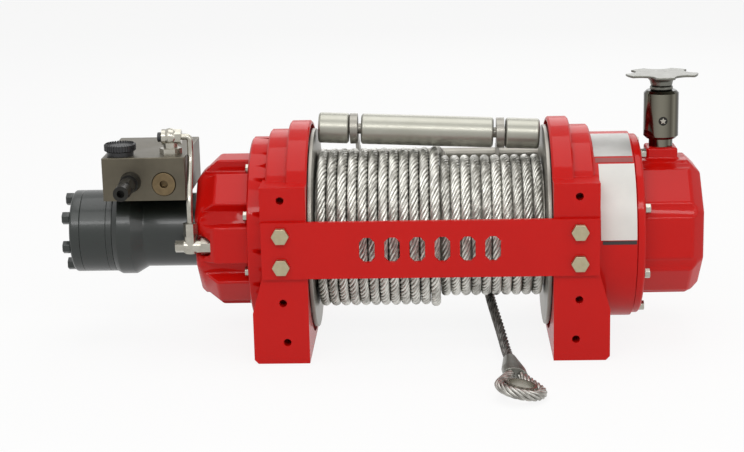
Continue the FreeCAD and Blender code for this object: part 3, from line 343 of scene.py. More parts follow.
# Red enamel, sprayed and stoved over machined castings: glossy, with the faint
# ripple that sprayed paint keeps, and almost even in colour.
RED_ENAMEL = Finish("red_stoving_enamel", "#C6110B", "#BF0E08", roughness=0.45,
                    specular=0.03, coat=0.34, coat_roughness=0.08, grain_mm=1.8,
                    grain_height_mm=0.003, patch_mm=60)
# Dark green-grey machine paint over sand-cast iron: half gloss with a cast grain.
MOTOR_PAINT = Finish("grey_green_machine_paint", "#1C231F", "#171D1A", roughness=0.34,
                     coat=0.22, grain_mm=1.2, grain_height_mm=0.035, patch_mm=25)
# Phosphated steel bar stock, milled on all sides: dull brown-grey with fine marks.
PHOSPHATED = Brushed("phosphated_milled_steel", "#666052", "#514C41", metallic=0.75,
                     roughness=0.42, patch_mm=18, across=Axis.Z, mark_mm=0.8)
# Hot-dip galvanised wire rope: its colour is painted bright on the wire crowns, with
# painted grey shade between them.
WIRE = DrawnWire("galvanised_wire_rope", "#E0DFD8", "#8A8881", metallic=0.75,
                 roughness=0.36, patch_mm=9)
# The free end is the same wire, painted darker grey as shade, since it runs down in the
# shadow under the drum.
SHADED_TAIL_WIRE = DrawnWire("painted_shade_tail_wire_rope", "#8E8D8A", "#43413E", metallic=0.85,
                         roughness=0.42, patch_mm=7)
# The eye is the same wire in a lighter copy than the tail's painted shade, painted for the
# light where it lies.
LIT_EYE_WIRE = DrawnWire("painted_lit_eye_wire_rope", "#B6B4AE", "#6C6963", metallic=0.8,
                        roughness=0.36, patch_mm=7)
ROPE_CORE = Finish("greased_rope_core", "#2E2C28", "#232120", metallic=0.3,
                   roughness=0.6, grain_mm=2.0, grain_height_mm=0.2, patch_mm=8)
# Drawn steel tube, bright zinc plated: pale grey with marks round the tube.
ROLLER_TUBE = Brushed("zinc_plated_tube", "#A3A299", "#959489", metallic=0.8,
                      roughness=0.36, patch_mm=30, across=Axis.X, mark_mm=1.2)
# Turned steel, left bare and oiled: darker, with turning marks.
TURNED_STEEL = Brushed("turned_bare_steel", "#9A978F", "#7C7972", metallic=0.9,
                       roughness=0.38, patch_mm=35, across=Axis.Y, mark_mm=0.9)
# Yellow-passivated zinc on hexagon bolts: pale brass tint, half bright.
ZINC_BOLT = Finish("passivated_zinc_bolt", "#B9B092", "#A0967A", metallic=0.85,
                   roughness=0.33, grain_mm=0.7, grain_height_mm=0.01, patch_mm=6)
# Bright zinc on the small screws and the pipe fittings: nearly white metal.
ZINC_BRIGHT = Finish("bright_zinc_plate", "#B9B6AB", "#98948A", metallic=0.9,
                     roughness=0.24, grain_mm=0.9, grain_height_mm=0.008, patch_mm=7)
# Hard chrome over turned steel: mirror bright and slightly warm, with painted reflection
# bands in its colour.
CHROME = Mirror("hard_chrome_plate", "#7A776B", "#4E4B42", metallic=1.0, roughness=0.12,
                 patch_mm=20, across=Axis.Z, mark_mm=0.7, mark_height_mm=0.0015)
# Die-cast aluminium, shot-blasted: soft grey without a mirror in it.
CAST_ALUMINIUM = Finish("die_cast_aluminium", "#7B7B74", "#66665F", metallic=0.9,
                        roughness=0.36, grain_mm=0.8, grain_height_mm=0.02, patch_mm=12)
# Pressed aluminium sleeve, paler than the casting where the tool rubbed it.
PRESSED_ALUMINIUM = Finish("pressed_aluminium", "#93938D", "#7C7C76", metallic=0.9,
                           roughness=0.34, grain_mm=0.8, grain_height_mm=0.015,
                           patch_mm=12)
# Moulded black nylon: dark, satin, with a spark-eroded grain.
BLACK_NYLON = Finish("moulded_black_nylon", "#1B1B1D", "#242426", roughness=0.42,
                     grain_mm=0.6, grain_height_mm=0.02, patch_mm=9)
# Black-oxide steel: nearly black metal with a brown cast.
BLACK_OXIDE = Finish("black_oxide_steel", "#2A2926", "#1D1C1A", metallic=0.6,
                     roughness=0.36, grain_mm=0.8, grain_height_mm=0.01, patch_mm=8)
# Sintered bronze plug: brown metal with open pores.
BRONZE = Finish("sintered_bronze", "#7D6C50", "#5B4D38", metallic=0.85, roughness=0.4,
                grain_mm=0.7, grain_height_mm=0.03, patch_mm=5)
# Polyester film for labels, left without print: satin white, silver, black and
# red-brown.
WHITE_FILM = Finish("white_polyester_film", "#DCDBD5", "#D2D1CC", roughness=0.38,
                    grain_mm=2.5, grain_height_mm=0.004, patch_mm=14)
SILVER_FILM = Finish("silver_polyester_film", "#A9A8A5", "#9A9995", metallic=0.35,
                     roughness=0.36, grain_mm=2.5, grain_height_mm=0.004, patch_mm=14)
DARK_FILM = Finish("black_polyester_film", "#1F1C1C", "#292525", roughness=0.38,
                   grain_mm=2.5, grain_height_mm=0.004, patch_mm=14)
RED_FILM = Finish("red_brown_polyester_film", "#8E2A22", "#7E241D", roughness=0.38,
                  grain_mm=2.5, grain_height_mm=0.004, patch_mm=14)


def dress(piece: bpy.types.Object, finish: Finish) -> None:
    """Give every slot of a piece one finish.

    Args:
        piece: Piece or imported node.
        finish: Its finish.
    """
    if not piece.data.materials:
        piece.data.materials.append(finish.material())
    for slot in piece.material_slots:
        slot.material = finish.material()


def dress_nodes(names: Iterable[str], finish: Finish) -> None:
    """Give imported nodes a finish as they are."""
    for name in names:
        dress(frame["nodes"][name], finish)


def new_piece(name: str, mesh: bpy.types.Mesh, finish: Finish, body: str,
              replaced: Sequence[str] = ()) -> bpy.types.Object:
    """Put a finished mesh into the scene as a piece of the winch.

    Args:
        name: Name of the piece.
        mesh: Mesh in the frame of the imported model.
        finish: Finish of the whole piece.
        body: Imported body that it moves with.
        replaced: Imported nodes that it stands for.

    Returns:
        The new object.
    """
    piece = bpy.data.objects.new(name, mesh)
    bpy.context.scene.collection.objects.link(piece)
    dress(piece, finish)
    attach(piece, body)
    if replaced:
        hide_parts(*replaced)
    log.info("%s: %d faces", name, len(mesh.polygons))
    return piece


def smooth(mesh: bpy.types.Mesh, crease: float = 40.0) -> None:
    """Shade a mesh smooth, with edges sharper than crease degrees kept."""
    mesh.polygons.foreach_set("use_smooth", [True] * len(mesh.polygons))
    mesh.set_sharp_from_angle(angle=math.radians(crease))


def mesh_from(shape: bmesh.types.BMesh, name: str, crease: float = 40.0) -> bpy.types.Mesh:
    """Turn a bmesh into a smooth-shaded mesh with outward faces.

    Args:
        shape: The bmesh, which is freed.
        name: Name of the mesh.
        crease: Edges sharper than this many degrees stay sharp.

    Returns:
        The mesh.
    """
    bmesh.ops.recalc_face_normals(shape, faces=shape.faces)
    mesh = bpy.data.meshes.new(name)
    shape.to_mesh(mesh)
    shape.free()
    smooth(mesh, crease)
    return mesh


def softened(node: str, width_mm: float, finish: Finish, segments: int = 3,
             edge_angle: float = 25.0, shortest_mm: float = 0.0) -> bpy.types.Object:
    """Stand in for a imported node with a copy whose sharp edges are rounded.

    Args:
        node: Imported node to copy.
        width_mm: Width of the rounding.
        finish: Finish of the piece.
        segments: Steps across the rounding.
        edge_angle: Edges that turn by more than this are rounded.
        shortest_mm: Shorter edges stay sharp, and then the width isn't held back by them.

    Returns:
        The new piece.
    """
    shape = bmesh.new()
    shape.from_mesh(frame["nodes"][node].data)
    bmesh.ops.remove_doubles(shape, verts=shape.verts, dist=SAME_POINT)
    bmesh.ops.dissolve_limit(shape, angle_limit=math.radians(FLAT_DEGREES),
                             verts=shape.verts, edges=shape.edges)
    sharp = [edge for edge in shape.edges if len(edge.link_faces) == 2
             and edge.calc_face_angle(0) > math.radians(edge_angle)
             and edge.calc_length() > shortest_mm * MM]
    bmesh.ops.bevel(shape, geom=sharp, offset=width_mm * MM, offset_type="OFFSET",
                    segments=segments, profile=0.5, affect="EDGES",
                    clamp_overlap=not shortest_mm, loop_slide=True, material=-1)
    many_sided = [face for face in shape.faces if len(face.verts) > 4]
    bmesh.ops.triangulate(shape, faces=many_sided)
    mesh = mesh_from(shape, node + "_rounded", crease=50)
    piece = new_piece(node + "_rounded", mesh, finish, BODY_OF[node], [node])
    weighted = piece.modifiers.new("flat_faces", "WEIGHTED_NORMAL")
    weighted.keep_sharp = True
    return piece


def strands_along(line: Sequence[Vector], name: str, spread: float, radius: float,
                  lay: float, sides: int = 1, count: int = 6,
                  upward: Optional[Vector] = None) -> bpy.types.Mesh:
    """Twist strands round a line and return them as one mesh with its own map.

    Args:
        line: Points down the middle of the rope, evenly spaced.
        name: Name of the mesh.
        spread: Middle of the rope to the middle of a strand.
        radius: Radius of a strand.
        lay: Length of rope for one turn of a strand; negative for the other hand.
        sides: Bevel resolution of the strand.
        count: Number of strands.
        upward: Direction that the first strand starts from.

    Returns:
        Mesh with a map named strand: round part in X, along part in Y.
    """
    curve = bpy.data.curves.new(name, "CURVE")
    curve.dimensions = "3D"
    curve.bevel_depth = radius
    curve.bevel_resolution = sides
    curve.use_fill_caps = True
    frames = []
    side = upward or Vector((0, 0, 1))
    travelled = 0.0
    for k, point in enumerate(line):
        ahead = (line[min(k + 1, len(line) - 1)] - line[max(k - 1, 0)]).normalized()
        side = (side - ahead * side.dot(ahead)).normalized()
        if k:
            travelled += (point - line[k - 1]).length
        frames.append((point, side.copy(), ahead.cross(side), travelled))
    for strand in range(count):
        spline = curve.splines.new("POLY")
        spline.points.add(len(frames) - 1)
        for place, (point, first, second, distance) in zip(spline.points, frames):
            turn = math.tau * (distance / lay + strand / count)
            at = point + (first * math.cos(turn) + second * math.sin(turn)) * spread
            place.co = (*at, 1.0)
    holder = bpy.data.objects.new(name, curve)
    mesh = bpy.data.meshes.new_from_object(holder)
    bpy.data.objects.remove(holder)
    bpy.data.curves.remove(curve)
    mesh.name = name
    mesh.uv_layers[0].name = "strand"
    smooth(mesh, crease=80)
    return mesh


def wire_rope(line: Sequence[Vector], name: str, radius: float, lay: float,
              sides: int = 1, upward: Optional[Vector] = None) -> bpy.types.Mesh:
    """Twist the six strands of a rope round a line.

    Args:
        line: Points down the middle of the rope, evenly spaced.
        name: Name of the mesh.
        radius: Radius of the rope.
        lay: Length of rope for one turn of a strand.
        sides: Bevel resolution of the strand.
        upward: Direction that the first strand starts from.

    Returns:
        Mesh of the strands.
    """
    return strands_along(line, name, radius * STRAND_PLACE, radius * STRAND_SIZE, lay,
                         sides, upward=upward)


def read_line(points: Sequence[Vector], resolution: int = 24) -> list[Vector]:
    """Read the smooth line that control points give.

    Args:
        points: Control points of the line.
        resolution: Points between two control points.

    Returns:
        Points of the line.
    """
    curve = bpy.data.curves.new("route", "CURVE")
    curve.dimensions = "3D"
    curve.resolution_u = resolution
    spline = curve.splines.new("NURBS")
    spline.points.add(len(points) - 1)
    for place, point in zip(spline.points, points):
        place.co = (*point, 1.0)
    spline.order_u = 3
    spline.use_endpoint_u = True
    holder = bpy.data.objects.new("route", curve)
    mesh = bpy.data.meshes.new_from_object(holder)
    line = [vertex.co.copy() for vertex in mesh.vertices]
    bpy.data.objects.remove(holder)
    bpy.data.curves.remove(curve)
    bpy.data.meshes.remove(mesh)
    return line


def respaced(line: Sequence[Vector], step: float) -> list[Vector]:
    """Space the points of a line evenly.

    Args:
        line: Points of the line.
        step: Distance between two of the new points.

    Returns:
        The new points, with both ends of the line.
    """
    spaced = [line[0].copy()]
    left = step
    for start, end in zip(line, line[1:]):
        run = end - start
        length = run.length
        at = left
        while at < length:
            spaced.append(start + run * (at / length))
            at += step
        left = at - length
    spaced.append(line[-1].copy())
    return spaced


@dataclass
class Camera:
    """Camera in front of the winch and above it, looking down, with angles in degrees."""

    place: tuple[float, float, float] = (0.01042, -1.96297, 0.59304)
    pitch: float = 13.36
    yaw: float = -2.28
    roll: float = -1.34
    lens: float = 83.87
    sensor: float = 36.0

    def build(self) -> None:
        """Make the camera and look through it."""
        pitch, yaw, roll = (math.radians(a) for a in (self.pitch, self.yaw, self.roll))
        ahead = Vector((math.sin(yaw) * math.cos(pitch), math.cos(yaw) * math.cos(pitch),
                        -math.sin(pitch)))
        right = Vector((math.cos(yaw), -math.sin(yaw), 0))
        upward = right.cross(ahead)
        across = right * math.cos(roll) + upward * math.sin(roll)
        above = upward * math.cos(roll) - right * math.sin(roll)
        data = bpy.data.cameras.new("camera")
        data.lens = self.lens
        data.sensor_width = self.sensor
        camera = bpy.data.objects.new("camera", data)
        turned = Matrix((across, above, -ahead)).transposed().to_4x4()
        camera.matrix_world = Matrix.Translation(self.place) @ turned
        bpy.context.scene.collection.objects.link(camera)
        bpy.context.scene.camera = camera


@dataclass
class FreeEnd:
    """Free end of the rope: stranded tail, pressed ferrule and eye with thimble."""

    rope_radius: float = 5.75 * MM
    lay: float = 45 * MM
    step: float = 2.5 * MM
    eye_radius: float = 22.3 * MM
    eye_length: float = 44 * MM
    eye_roll: float = 12.0
    leg_spread: float = 6.2 * MM
    ferrule_length: float = 56 * MM
    ferrule_edge_mm: float = 1.0
    leg_start: float = 0.6 * MM
    bend_corners: int = 16
    route: tuple[tuple[float, float, float], ...] = (
        (68.5, 8.0, 40.1), (70.2, -16.0, 36.8), (73.8, -43.0, 29.4), (77.6, -70.0, 21.6),
        (80.9, -97.0, 14.0), (83.5, -124.0, 9.1), (85.4, -150.0, 9.4))

    def build(self) -> None:
        points = [Vector(point) * MM for point in self.route]
        line = respaced(read_line(points), self.step)
        mesh = wire_rope(line, "rope_tail_strands", self.rope_radius, self.lay, 2)
        # the tail's darker copy of the wire is painted shade
        tail = new_piece("rope_tail_strands", mesh, SHADED_TAIL_WIRE, "frame",
                         ["rope_tail"])
        eye = self.eye(points)
        ferrule = softened("rope_ferrule", self.ferrule_edge_mm, PRESSED_ALUMINIUM)
        dress_nodes(["rope_thimble"], ZINC_BRIGHT)

    def eye(self, points: Sequence[Vector]) -> bpy.types.Object:
        """Make the rope loop behind the ferrule.

        Args:
            points: Control points of the tail, which ends at the ferrule.

        Returns:
            The loop.
        """
        along = (points[-1] - points[-2]).normalized()
        end = points[-1] + along * self.ferrule_length
        level = Vector((-along.y, along.x, 0)).normalized()
        upright = along.cross(level)
        roll = math.radians(self.eye_roll)
        wide = level * math.cos(roll) - upright * math.sin(roll)
        reach = math.hypot(self.eye_length, self.leg_spread)
        lean = (math.asin(self.eye_radius / reach)
                - math.atan2(self.leg_spread, self.eye_length))
        flat = [(self.leg_start, -self.leg_spread)]
        sweep = math.pi + 2 * lean
        steps = self.bend_corners
        # corners of a polygon outside the bend, which a smooth line of order 3 rounds off
        corner = self.eye_radius / math.cos(sweep / steps / 2)
        for k in range(steps):
            turn = -sweep / 2 + sweep * (k + 0.5) / steps
            flat.append((self.eye_length + corner * math.cos(turn),
                         corner * math.sin(turn)))
        flat.append((self.leg_start, self.leg_spread))
        loop = [end + along * u + wide * v for u, v in flat]
        line = respaced(read_line(loop, 12), self.step)
        mesh = wire_rope(line, "rope_eye_strands", self.rope_radius, self.lay, 2,
                         along.cross(wide))
        # the eye's lighter copy of the wire is painted light
        return new_piece("rope_eye_strands", mesh, LIT_EYE_WIRE, "frame",
                         ["rope_eye"])


def ease(share: float) -> float:
    """Return a smooth step from zero to one as share goes from zero to one."""
    share = min(max(share, 0.0), 1.0)
    return (3 - 2 * share) * share ** 2


@dataclass
class RopeLayer:
    """One layer of turns, which step from groove to groove at the rear of the drum.

    Turns are counted from the front, over the top and down the rear, and every zone is
    a share of a turn.
    """

    name: str
    first: float
    hand: int
    start: float
    end: float
    radius: float
    rises_from: float
    last_lift: float = 0.0
    lead_drop: float = 0.0
    lead_to: Optional[float] = None
    step_zone: float = 0.3
    rise_zone: float = 0.14
    lead_zone: float = 0.53
    lift_before_end: float = 1.4
    lift_zone: float = 0.3

    def points(self, axis: float, pitch: float, spacing: float) -> list[Vector]:
        """Points down the middle of the rope.

        Args:
            axis: Height of the drum axis.
            pitch: Pitch of the turns.
            spacing: Distance between two points.

        Returns:
            Points from the start of the layer to its end.
        """
        count = int((self.end - self.start) * math.tau * self.radius / spacing)
        points = []
        for k in range(count + 1):
            turned = self.start + (self.end - self.start) * k / count
            whole = math.floor(turned)
            stepped = max(0.0, whole + ease((turned - whole - 0.5) / self.step_zone
                                            + 0.5))
            radius = self.rises_from + (self.radius - self.rises_from) * ease(
                (turned - self.start) / self.rise_zone)
            if self.lead_to is not None:
                led = ease((turned - self.end + self.lead_zone) / self.lead_zone)
                stepped = min(stepped, self.end - self.end % 1)
                aside = self.first + self.hand * pitch * stepped
                aside += (self.lead_to - aside) * led
                lifted = ease((turned - self.end + self.lift_before_end) / self.lift_zone)
                radius += self.last_lift * lifted - self.lead_drop * led
            else:
                aside = self.first + self.hand * pitch * stepped
            angle = math.tau * turned
            points.append(Vector((aside, -radius * math.cos(angle),
                                  axis + radius * math.sin(angle))))
        return points


@dataclass
class RopePack:
    """Rope wound on the drum in two layers, and its last half turn to the free end."""

    axis: float = 126 * MM
    rope_radius: float = 5.75 * MM
    pitch: float = 11.6 * MM
    barrel_radius: float = 70 * MM
    lower_radius: float = 76.05 * MM
    upper_radius: float = 86.01 * MM
    left: float = -127.6 * MM
    lower_turns: int = 22
    upper_turns: int = 12
    last_lift: float = 2.0 * MM
    lead_drop: float = 2.7 * MM
    lay: float = 45 * MM
    spacing: float = 3.4 * MM
    lead_to: float = 68.5 * MM
    upper_start: float = -0.55
    lower_start: float = -0.35
    upper_end: float = 0.75
    lower_end: float = 0.4
    core_share: float = 0.6
    core_every: int = 3
    bed_share: float = 0.5
    bed_gap: float = 1 * MM
    bed_steps: int = 72

    def build(self) -> None:
        """Make the strands of both layers, their core and the bed under them."""
        first = self.left + self.pitch / 2
        hidden = self.upper_turns - 1
        last = self.left + self.pitch * (self.lower_turns - 0.5)
        upper = RopeLayer("rope_upper_layer", first, 1, self.upper_start,
                          hidden + self.upper_end, self.upper_radius, self.lower_radius,
                          self.last_lift, self.lead_drop, self.lead_to)
        lower = RopeLayer("rope_lower_layer", last, -1, self.lower_start,
                          self.lower_turns - hidden - 1 + self.lower_end,
                          self.lower_radius, self.barrel_radius - self.rope_radius)
        for layer in (upper, lower):
            line = layer.points(self.axis, self.pitch, self.spacing)
            mesh = wire_rope(line, layer.name, self.rope_radius, self.lay)
            replaced = ["wound_rope"] if layer is upper else []
            new_piece(layer.name, mesh, WIRE, "drum", replaced)
            core = strands_along(line[::self.core_every], layer.name + "_core", 0.0,
                                 self.rope_radius * self.core_share, self.lay, count=1)
            new_piece(layer.name + "_core", core, ROPE_CORE, "drum")
        self.bed()

    def bed(self) -> None:
        """Fill the space under the upper layer, where no strand is made."""
        bed = bmesh.new()
        outer = self.lower_radius + self.rope_radius * self.bed_share
        inner = self.barrel_radius + self.bed_gap
        right = self.left + (self.upper_turns - 0.5) * self.pitch
        corners = [bed.verts.new((x, 0, self.axis + r)) for x, r in (
            (self.left, inner), (self.left, outer), (right, outer), (right, inner))]
        edges = [bed.edges.new(pair) for pair in zip(corners, corners[1:] + corners[:1])]
        bmesh.ops.spin(bed, geom=corners + edges, cent=(0, 0, self.axis), axis=(1, 0, 0),
                       angle=math.tau, steps=self.bed_steps, use_merge=True)
        new_piece("rope_bed", mesh_from(bed, "rope_bed"), ROPE_CORE, "drum")


@dataclass
class Castings:
    """Foot castings, tie plate and the two housings, all in red enamel."""

    support_edge_mm: float = 2.2
    brake_edge_mm: float = 2.4
    brake_shortest_mm: float = 9.0
    cover_edge_mm: float = 3.4
    ring_edge_mm: float = 0.8
    housing_edge_mm: float = 0.6
    plate_edge_mm: float = 0.7
    screw_edge_mm: float = 0.5

    def build(self) -> None:
        """Round the edges of the castings and their bolts, and dress them."""
        for node in ("drum_support_motor_side", "drum_support_gear_side"):
            softened(node, self.support_edge_mm, RED_ENAMEL)
        softened("brake_housing", self.brake_edge_mm, RED_ENAMEL,
                 shortest_mm=self.brake_shortest_mm)
        softened("gear_cover", self.cover_edge_mm, RED_ENAMEL)
        softened("gear_cover_ring", self.ring_edge_mm, RED_ENAMEL)
        softened("gear_housing", self.housing_edge_mm, RED_ENAMEL)
        softened("front_tie_plate", self.plate_edge_mm, RED_ENAMEL)
        softened("tie_plate_bolts", self.plate_edge_mm, ZINC_BOLT)
        for node in ("brake_housing_bolts", "gear_cover_bolts"):
            softened(node, self.screw_edge_mm, ZINC_BRIGHT)


@dataclass
class Films:
    """Blank films on the front of the gear housing."""

    axis: float = 126 * MM
    radius: float = 106.75 * MM
    thickness: float = 0.12 * MM
    step_degrees: float = 3.0
    fewest_steps: int = 6

    def build(self) -> None:
        """Wrap the films round the housing, each with its edges in mm and degrees."""
        for name, finish, left, right, low, high in (
                ("film_silver", SILVER_FILM, 184, 226.6, 57.6, 86.5),
                ("film_strip", RED_FILM, 185, 226.8, 52.6, 56.4),
                ("film_white", WHITE_FILM, 188, 227.6, 3.0, 51.4),
                ("film_dark", DARK_FILM, 190, 227.4, 0.4, 2.6)):
            self.film(name, finish, left * MM, right * MM, low, high)

    def film(self, name: str, finish: Finish, left: float, right: float, low: float,
             high: float) -> None:
        """Make one film between two places and two angles above the front.

        Args:
            name: Name of the piece.
            finish: Its finish.
            left: Left edge along the drum axis.
            right: Right edge.
            low: Angle of the lower edge in degrees.
            high: Angle of the upper edge in degrees.
        """
        sheet = bmesh.new()
        turn = math.radians(low)
        ends = [sheet.verts.new((x, -self.radius * math.cos(turn),
                                 self.axis + self.radius * math.sin(turn)))
                for x in (left, right)]
        edge = sheet.edges.new(ends)
        steps = max(self.fewest_steps, int((high - low) / self.step_degrees))
        bmesh.ops.spin(sheet, geom=ends + [edge], cent=(0, 0, self.axis), axis=(-1, 0, 0),
                       angle=math.radians(high - low), steps=steps)
        bmesh.ops.solidify(sheet, geom=sheet.faces[:], thickness=self.thickness)
        new_piece(name, mesh_from(sheet, name, crease=60), finish, "frame")


@dataclass
class Motor:
    """Orbit motor with its valve block, fittings and brake line."""

    cap_place: tuple[float, float, float] = (-349 * MM, -46 * MM, 224 * MM)
    cap_radius: float = 18 * MM
    cap_height: float = 9 * MM
    rim_share: float = 0.7
    lid_share: float = 0.15
    lid_taper: float = 0.9
    ridge_edge: float = 0.15 * MM
    ridge_depth: float = 0.7 * MM
    ridges: int = 36
    neck: float = 5 * MM
    neck_radius: float = 15 * MM
    neck_overlap: float = 2 * MM
    neck_sides: int = 48

    def build(self) -> None:
        """Dress the motor and make its knurled cap."""
        for node, width in (("motor_end_cover", 1.0), ("motor_gerotor_ring", 0.5),
                            ("motor_spacer", 0.5), ("motor_housing", 2.0),
                            ("motor_end_bolts", 0.9)):
            softened(node, width, MOTOR_PAINT)
        softened("valve_block", 1.2, PHOSPHATED)
        softened("port_plug", 0.6, BRONZE)
        softened("relief_valve", 0.7, BLACK_OXIDE)
        softened("elbow_plug", 0.6, BLACK_NYLON)
        softened("elbow_fitting", 0.7, ZINC_BRIGHT)
        softened("brake_line_tee", 0.6, ZINC_BRIGHT)
        dress_nodes(["brake_line_tube"], ZINC_BRIGHT)
        self.knurled_cap()

    def knurled_cap(self) -> None:
        """Make the screw cap with a knurled rim."""
        cap = bmesh.new()
        bmesh.ops.create_cone(cap, cap_ends=True, segments=2 * self.ridges,
                              radius1=self.cap_radius, radius2=self.cap_radius,
                              depth=self.cap_height * self.rim_share,
                              matrix=Matrix.Translation((0, 0, self.cap_height / 2)))
        rims = [face for face in cap.faces if abs(face.normal.z) < 0.5]
        ridged = sorted(rims, key=lambda f: math.atan2(*f.calc_center_median().xy))[::2]
        bmesh.ops.inset_individual(cap, faces=ridged, thickness=self.ridge_edge,
                                   depth=-self.ridge_depth)
        ends = [face for face in cap.faces if abs(face.normal.z) > 0.9]
        for face in ends:
            lid = bmesh.ops.extrude_face_region(cap, geom=[face])
            verts = [v for v in lid["geom"] if isinstance(v, bmesh.types.BMVert)]
            rise = math.copysign(self.cap_height * self.lid_share, face.normal.z)
            bmesh.ops.translate(cap, verts=verts, vec=(0, 0, rise))
            bmesh.ops.scale(cap, verts=verts, vec=(self.lid_taper, self.lid_taper, 1))
        bmesh.ops.delete(cap, geom=ends, context="FACES_ONLY")
        bmesh.ops.translate(cap, verts=cap.verts, vec=(0, 0, self.neck))
        middle = (self.neck + self.neck_overlap) / 2
        bmesh.ops.create_cone(cap, cap_ends=True, segments=self.neck_sides,
                              radius1=self.neck_radius, radius2=self.neck_radius,
                              depth=self.neck + self.neck_overlap,
                              matrix=Matrix.Translation((0, 0, middle)))
        bmesh.ops.translate(cap, verts=cap.verts, vec=self.cap_place)
        mesh = mesh_from(cap, "knurled_valve_cap", crease=30)
        new_piece("knurled_valve_cap", mesh, BLACK_NYLON, "frame",
                  ["valve_cap"])


@dataclass
class Clutch:
    """Clutch barrel with its star knob."""

    barrel_edge_mm: float = 1.2
    screw_edge_mm: float = 0.4
    stem_edge_mm: float = 0.6
    knob_edge_mm: float = 0.8
    star_points: int = 5
    star_radius: float = 4.6 * MM
    star_waist: float = 0.5
    star_height: float = 1.6 * MM
    star_taper: float = 0.8
    star_edge: float = 0.2 * MM

    def build(self) -> None:
        """Dress the clutch and make the star on its set screw."""
        softened("clutch_barrel", self.barrel_edge_mm, CHROME)
        softened("clutch_set_screw", self.screw_edge_mm, BLACK_OXIDE)
        self.star()
        softened("clutch_stem", self.stem_edge_mm, CAST_ALUMINIUM)
        softened("clutch_knob", self.knob_edge_mm, CAST_ALUMINIUM)

    def star(self) -> None:
        """Make the star that fills the socket of the set screw."""
        low, high = (Vector(corner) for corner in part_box("clutch_set_screw"))
        star = bmesh.new()
        bmesh.ops.create_circle(star, cap_ends=True, segments=2 * self.star_points,
                                radius=self.star_radius)
        bmesh.ops.scale(star, verts=star.verts[:][1::2],
                        vec=(self.star_waist, self.star_waist, 1))
        top = bmesh.ops.extrude_face_region(star, geom=star.faces[:])
        raised = [v for v in top["geom"] if isinstance(v, bmesh.types.BMVert)]
        bmesh.ops.translate(star, verts=raised, vec=(0, 0, self.star_height))
        bmesh.ops.scale(star, verts=raised, vec=(self.star_taper, self.star_taper, 1))
        bmesh.ops.bevel(star, geom=star.edges[:], offset=self.star_edge, segments=2,
                        profile=0.5, affect="EDGES", material=-1)
        middle = (low + high) / 2
        seat = Matrix.Translation((middle.x, low.y + self.star_edge, middle.z))
        bmesh.ops.transform(star, verts=star.verts,
                            matrix=seat @ Matrix.Rotation(math.pi / 2, 4, "X"))
        new_piece("set_screw_star", mesh_from(star, "set_screw_star"), ZINC_BRIGHT, "frame")


@dataclass
class DrumAndRoller:
    """Steel drum, and the pressure roller on its two arms."""

    drum_edge_mm: float = 1.0
    sleeve_edge_mm: float = 0.8
    arm_edge_mm: float = 0.6
    shaft_edge_mm: float = 0.5

    def build(self) -> None:
        """Dress the drum, sleeves, shaft and arms."""
        softened("drum", self.drum_edge_mm, TURNED_STEEL)
        for node in ("roller_left_sleeve", "roller_middle_sleeve", "roller_right_sleeve"):
            softened(node, self.sleeve_edge_mm, ROLLER_TUBE)
        for node in ("roller_arm_left", "roller_arm_right"):
            softened(node, self.arm_edge_mm, TURNED_STEEL)
        softened("roller_shaft", self.shaft_edge_mm, TURNED_STEEL)
        dress_nodes(["roller_pivot_rod"], TURNED_STEEL)


@dataclass(frozen=True)
class Lamp:
    """One flat lamp that faces a target."""

    name: str
    place: tuple[float, float, float]
    target: tuple[float, float, float]
    size: tuple[float, float]
    power: float

    def build(self) -> None:
        """Make the lamp and turn it to its target."""
        data = bpy.data.lights.new(self.name, "AREA")
        data.shape = "RECTANGLE"
        data.size, data.size_y = self.size
        data.energy = self.power
        lamp = bpy.data.objects.new(self.name, data)
        aim = (Vector(self.target) - Vector(self.place)).to_track_quat("-Z", "Y")
        lamp.matrix_world = Matrix.Translation(self.place) @ aim.to_matrix().to_4x4()
        bpy.context.scene.collection.objects.link(lamp)


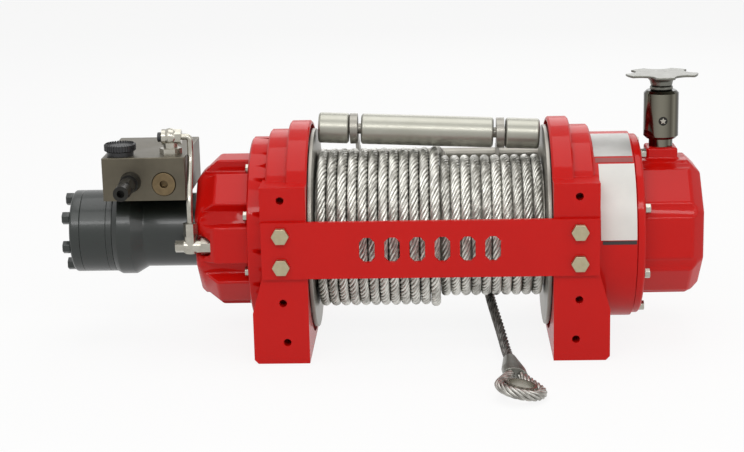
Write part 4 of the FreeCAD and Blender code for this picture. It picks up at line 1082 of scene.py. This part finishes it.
@dataclass
class Studio:
    """Pale floor and soft light."""

    floor_size: float = 12.0
    floor_drop: float = 0.6 * MM
    floor_colour: str = "#F2F2F0"
    floor_roughness: float = 0.9
    floor_glow: float = 0.88
    white: str = "#FFFFFF"
    sky_strength: float = 0.36
    lamps: tuple[Lamp, ...] = (
        Lamp("strip", (0.0, -1.75, 1.32), (0.0, 0.0, 0.16), (2.0, 0.3), 14.0),
        Lamp("key", (-0.9, -1.7, 2.3), (0.0, 0.0, 0.1), (1.5, 1.2), 8.0),
        Lamp("fill", (1.9, -1.5, 1.0), (0.1, 0.0, 0.1), (1.2, 1.2), 5.0),
        Lamp("top", (0.0, 0.2, 2.4), (0.0, 0.0, 0.1), (1.8, 1.8), 20.0),
        Lamp("rear", (0.3, 2.2, 1.3), (0.0, 0.0, 0.1), (1.6, 1.2), 9.0))

    def build(self) -> None:
        """Make the floor, the lamps and the world."""
        floor = bmesh.new()
        bmesh.ops.create_grid(floor, x_segments=1, y_segments=1, size=self.floor_size)
        bmesh.ops.translate(floor, verts=floor.verts, vec=(0, 0, -self.floor_drop))
        mesh = bpy.data.meshes.new("floor")
        floor.to_mesh(mesh)
        floor.free()
        plane = bpy.data.objects.new("floor", mesh)
        bpy.context.scene.collection.objects.link(plane)
        mesh.materials.append(self.floor_material())
        for lamp in self.lamps:
            lamp.build()
        self.sky()

    def sky(self) -> None:
        """Make the world: plain light, and white where a ray looks at it."""
        world = bpy.data.worlds.new("studio")
        world.use_nodes = True
        tree = world.node_tree
        sky = tree.nodes["Background"]
        sky.inputs["Color"].default_value = linear(self.white)
        sky.inputs["Strength"].default_value = self.sky_strength
        bright = add_node(tree, "ShaderNodeBackground", {
            "Color": linear(self.white), "Strength": 1.0})
        mixed = add_node(tree, "ShaderNodeMixShader", {
            0: self.looked_at(tree, 1.0), 1: sky.outputs[0], 2: bright.outputs[0]})
        tree.links.new(mixed.outputs[0], tree.nodes["World Output"].inputs["Surface"])
        bpy.context.scene.world = world
        bpy.context.scene.view_settings.view_transform = "Standard"

    def looked_at(self, tree: bpy.types.NodeTree, share: float) -> bpy.types.NodeSocket:
        """Pick out the rays that look at a surface.

        Args:
            tree: Node tree that gets the nodes.
            share: Value for camera, mirror and glass rays.

        Returns:
            The share for those rays and zero for all others.
        """
        seen = add_node(tree, "ShaderNodeLightPath")
        direct = add_node(tree, "ShaderNodeMath", {
            0: seen.outputs["Is Camera Ray"], 1: seen.outputs["Is Glossy Ray"]},
            operation="MAXIMUM")
        every = add_node(tree, "ShaderNodeMath", {
            0: direct.outputs[0], 1: seen.outputs["Is Transmission Ray"]},
            operation="MAXIMUM")
        scaled = add_node(tree, "ShaderNodeMath", {0: every.outputs[0], 1: share},
                          operation="MULTIPLY")
        return scaled.outputs[0]

    def floor_material(self) -> bpy.types.Material:
        """Make a matt pale floor that shows near white and keeps the shadow.

        Returns:
            The material.
        """
        material = bpy.data.materials.new("pale_studio_floor")
        material.use_nodes = True
        tree = material.node_tree
        paint = tree.nodes["Principled BSDF"]
        paint.inputs["Base Color"].default_value = linear(self.floor_colour)
        paint.inputs["Roughness"].default_value = self.floor_roughness
        glow = add_node(tree, "ShaderNodeEmission", {
            "Color": linear(self.white), "Strength": 1.0})
        mixed = add_node(tree, "ShaderNodeMixShader", {
            0: self.looked_at(tree, self.floor_glow), 1: paint.outputs[0],
            2: glow.outputs[0]})
        tree.links.new(mixed.outputs[0], tree.nodes["Material Output"].inputs["Surface"])
        return material


def main() -> None:
    """Build the scene, piece by piece."""
    logging.basicConfig(level=logging.INFO, format="%(name)s %(message)s")
    for part in (Camera(), FreeEnd(), RopePack(), Castings(), Films(), Motor(), Clutch(),
                 DrumAndRoller(), Studio()):
        part.build()
        log.info("%s is done", type(part).__name__)


if __name__ == "__main__":
    main()
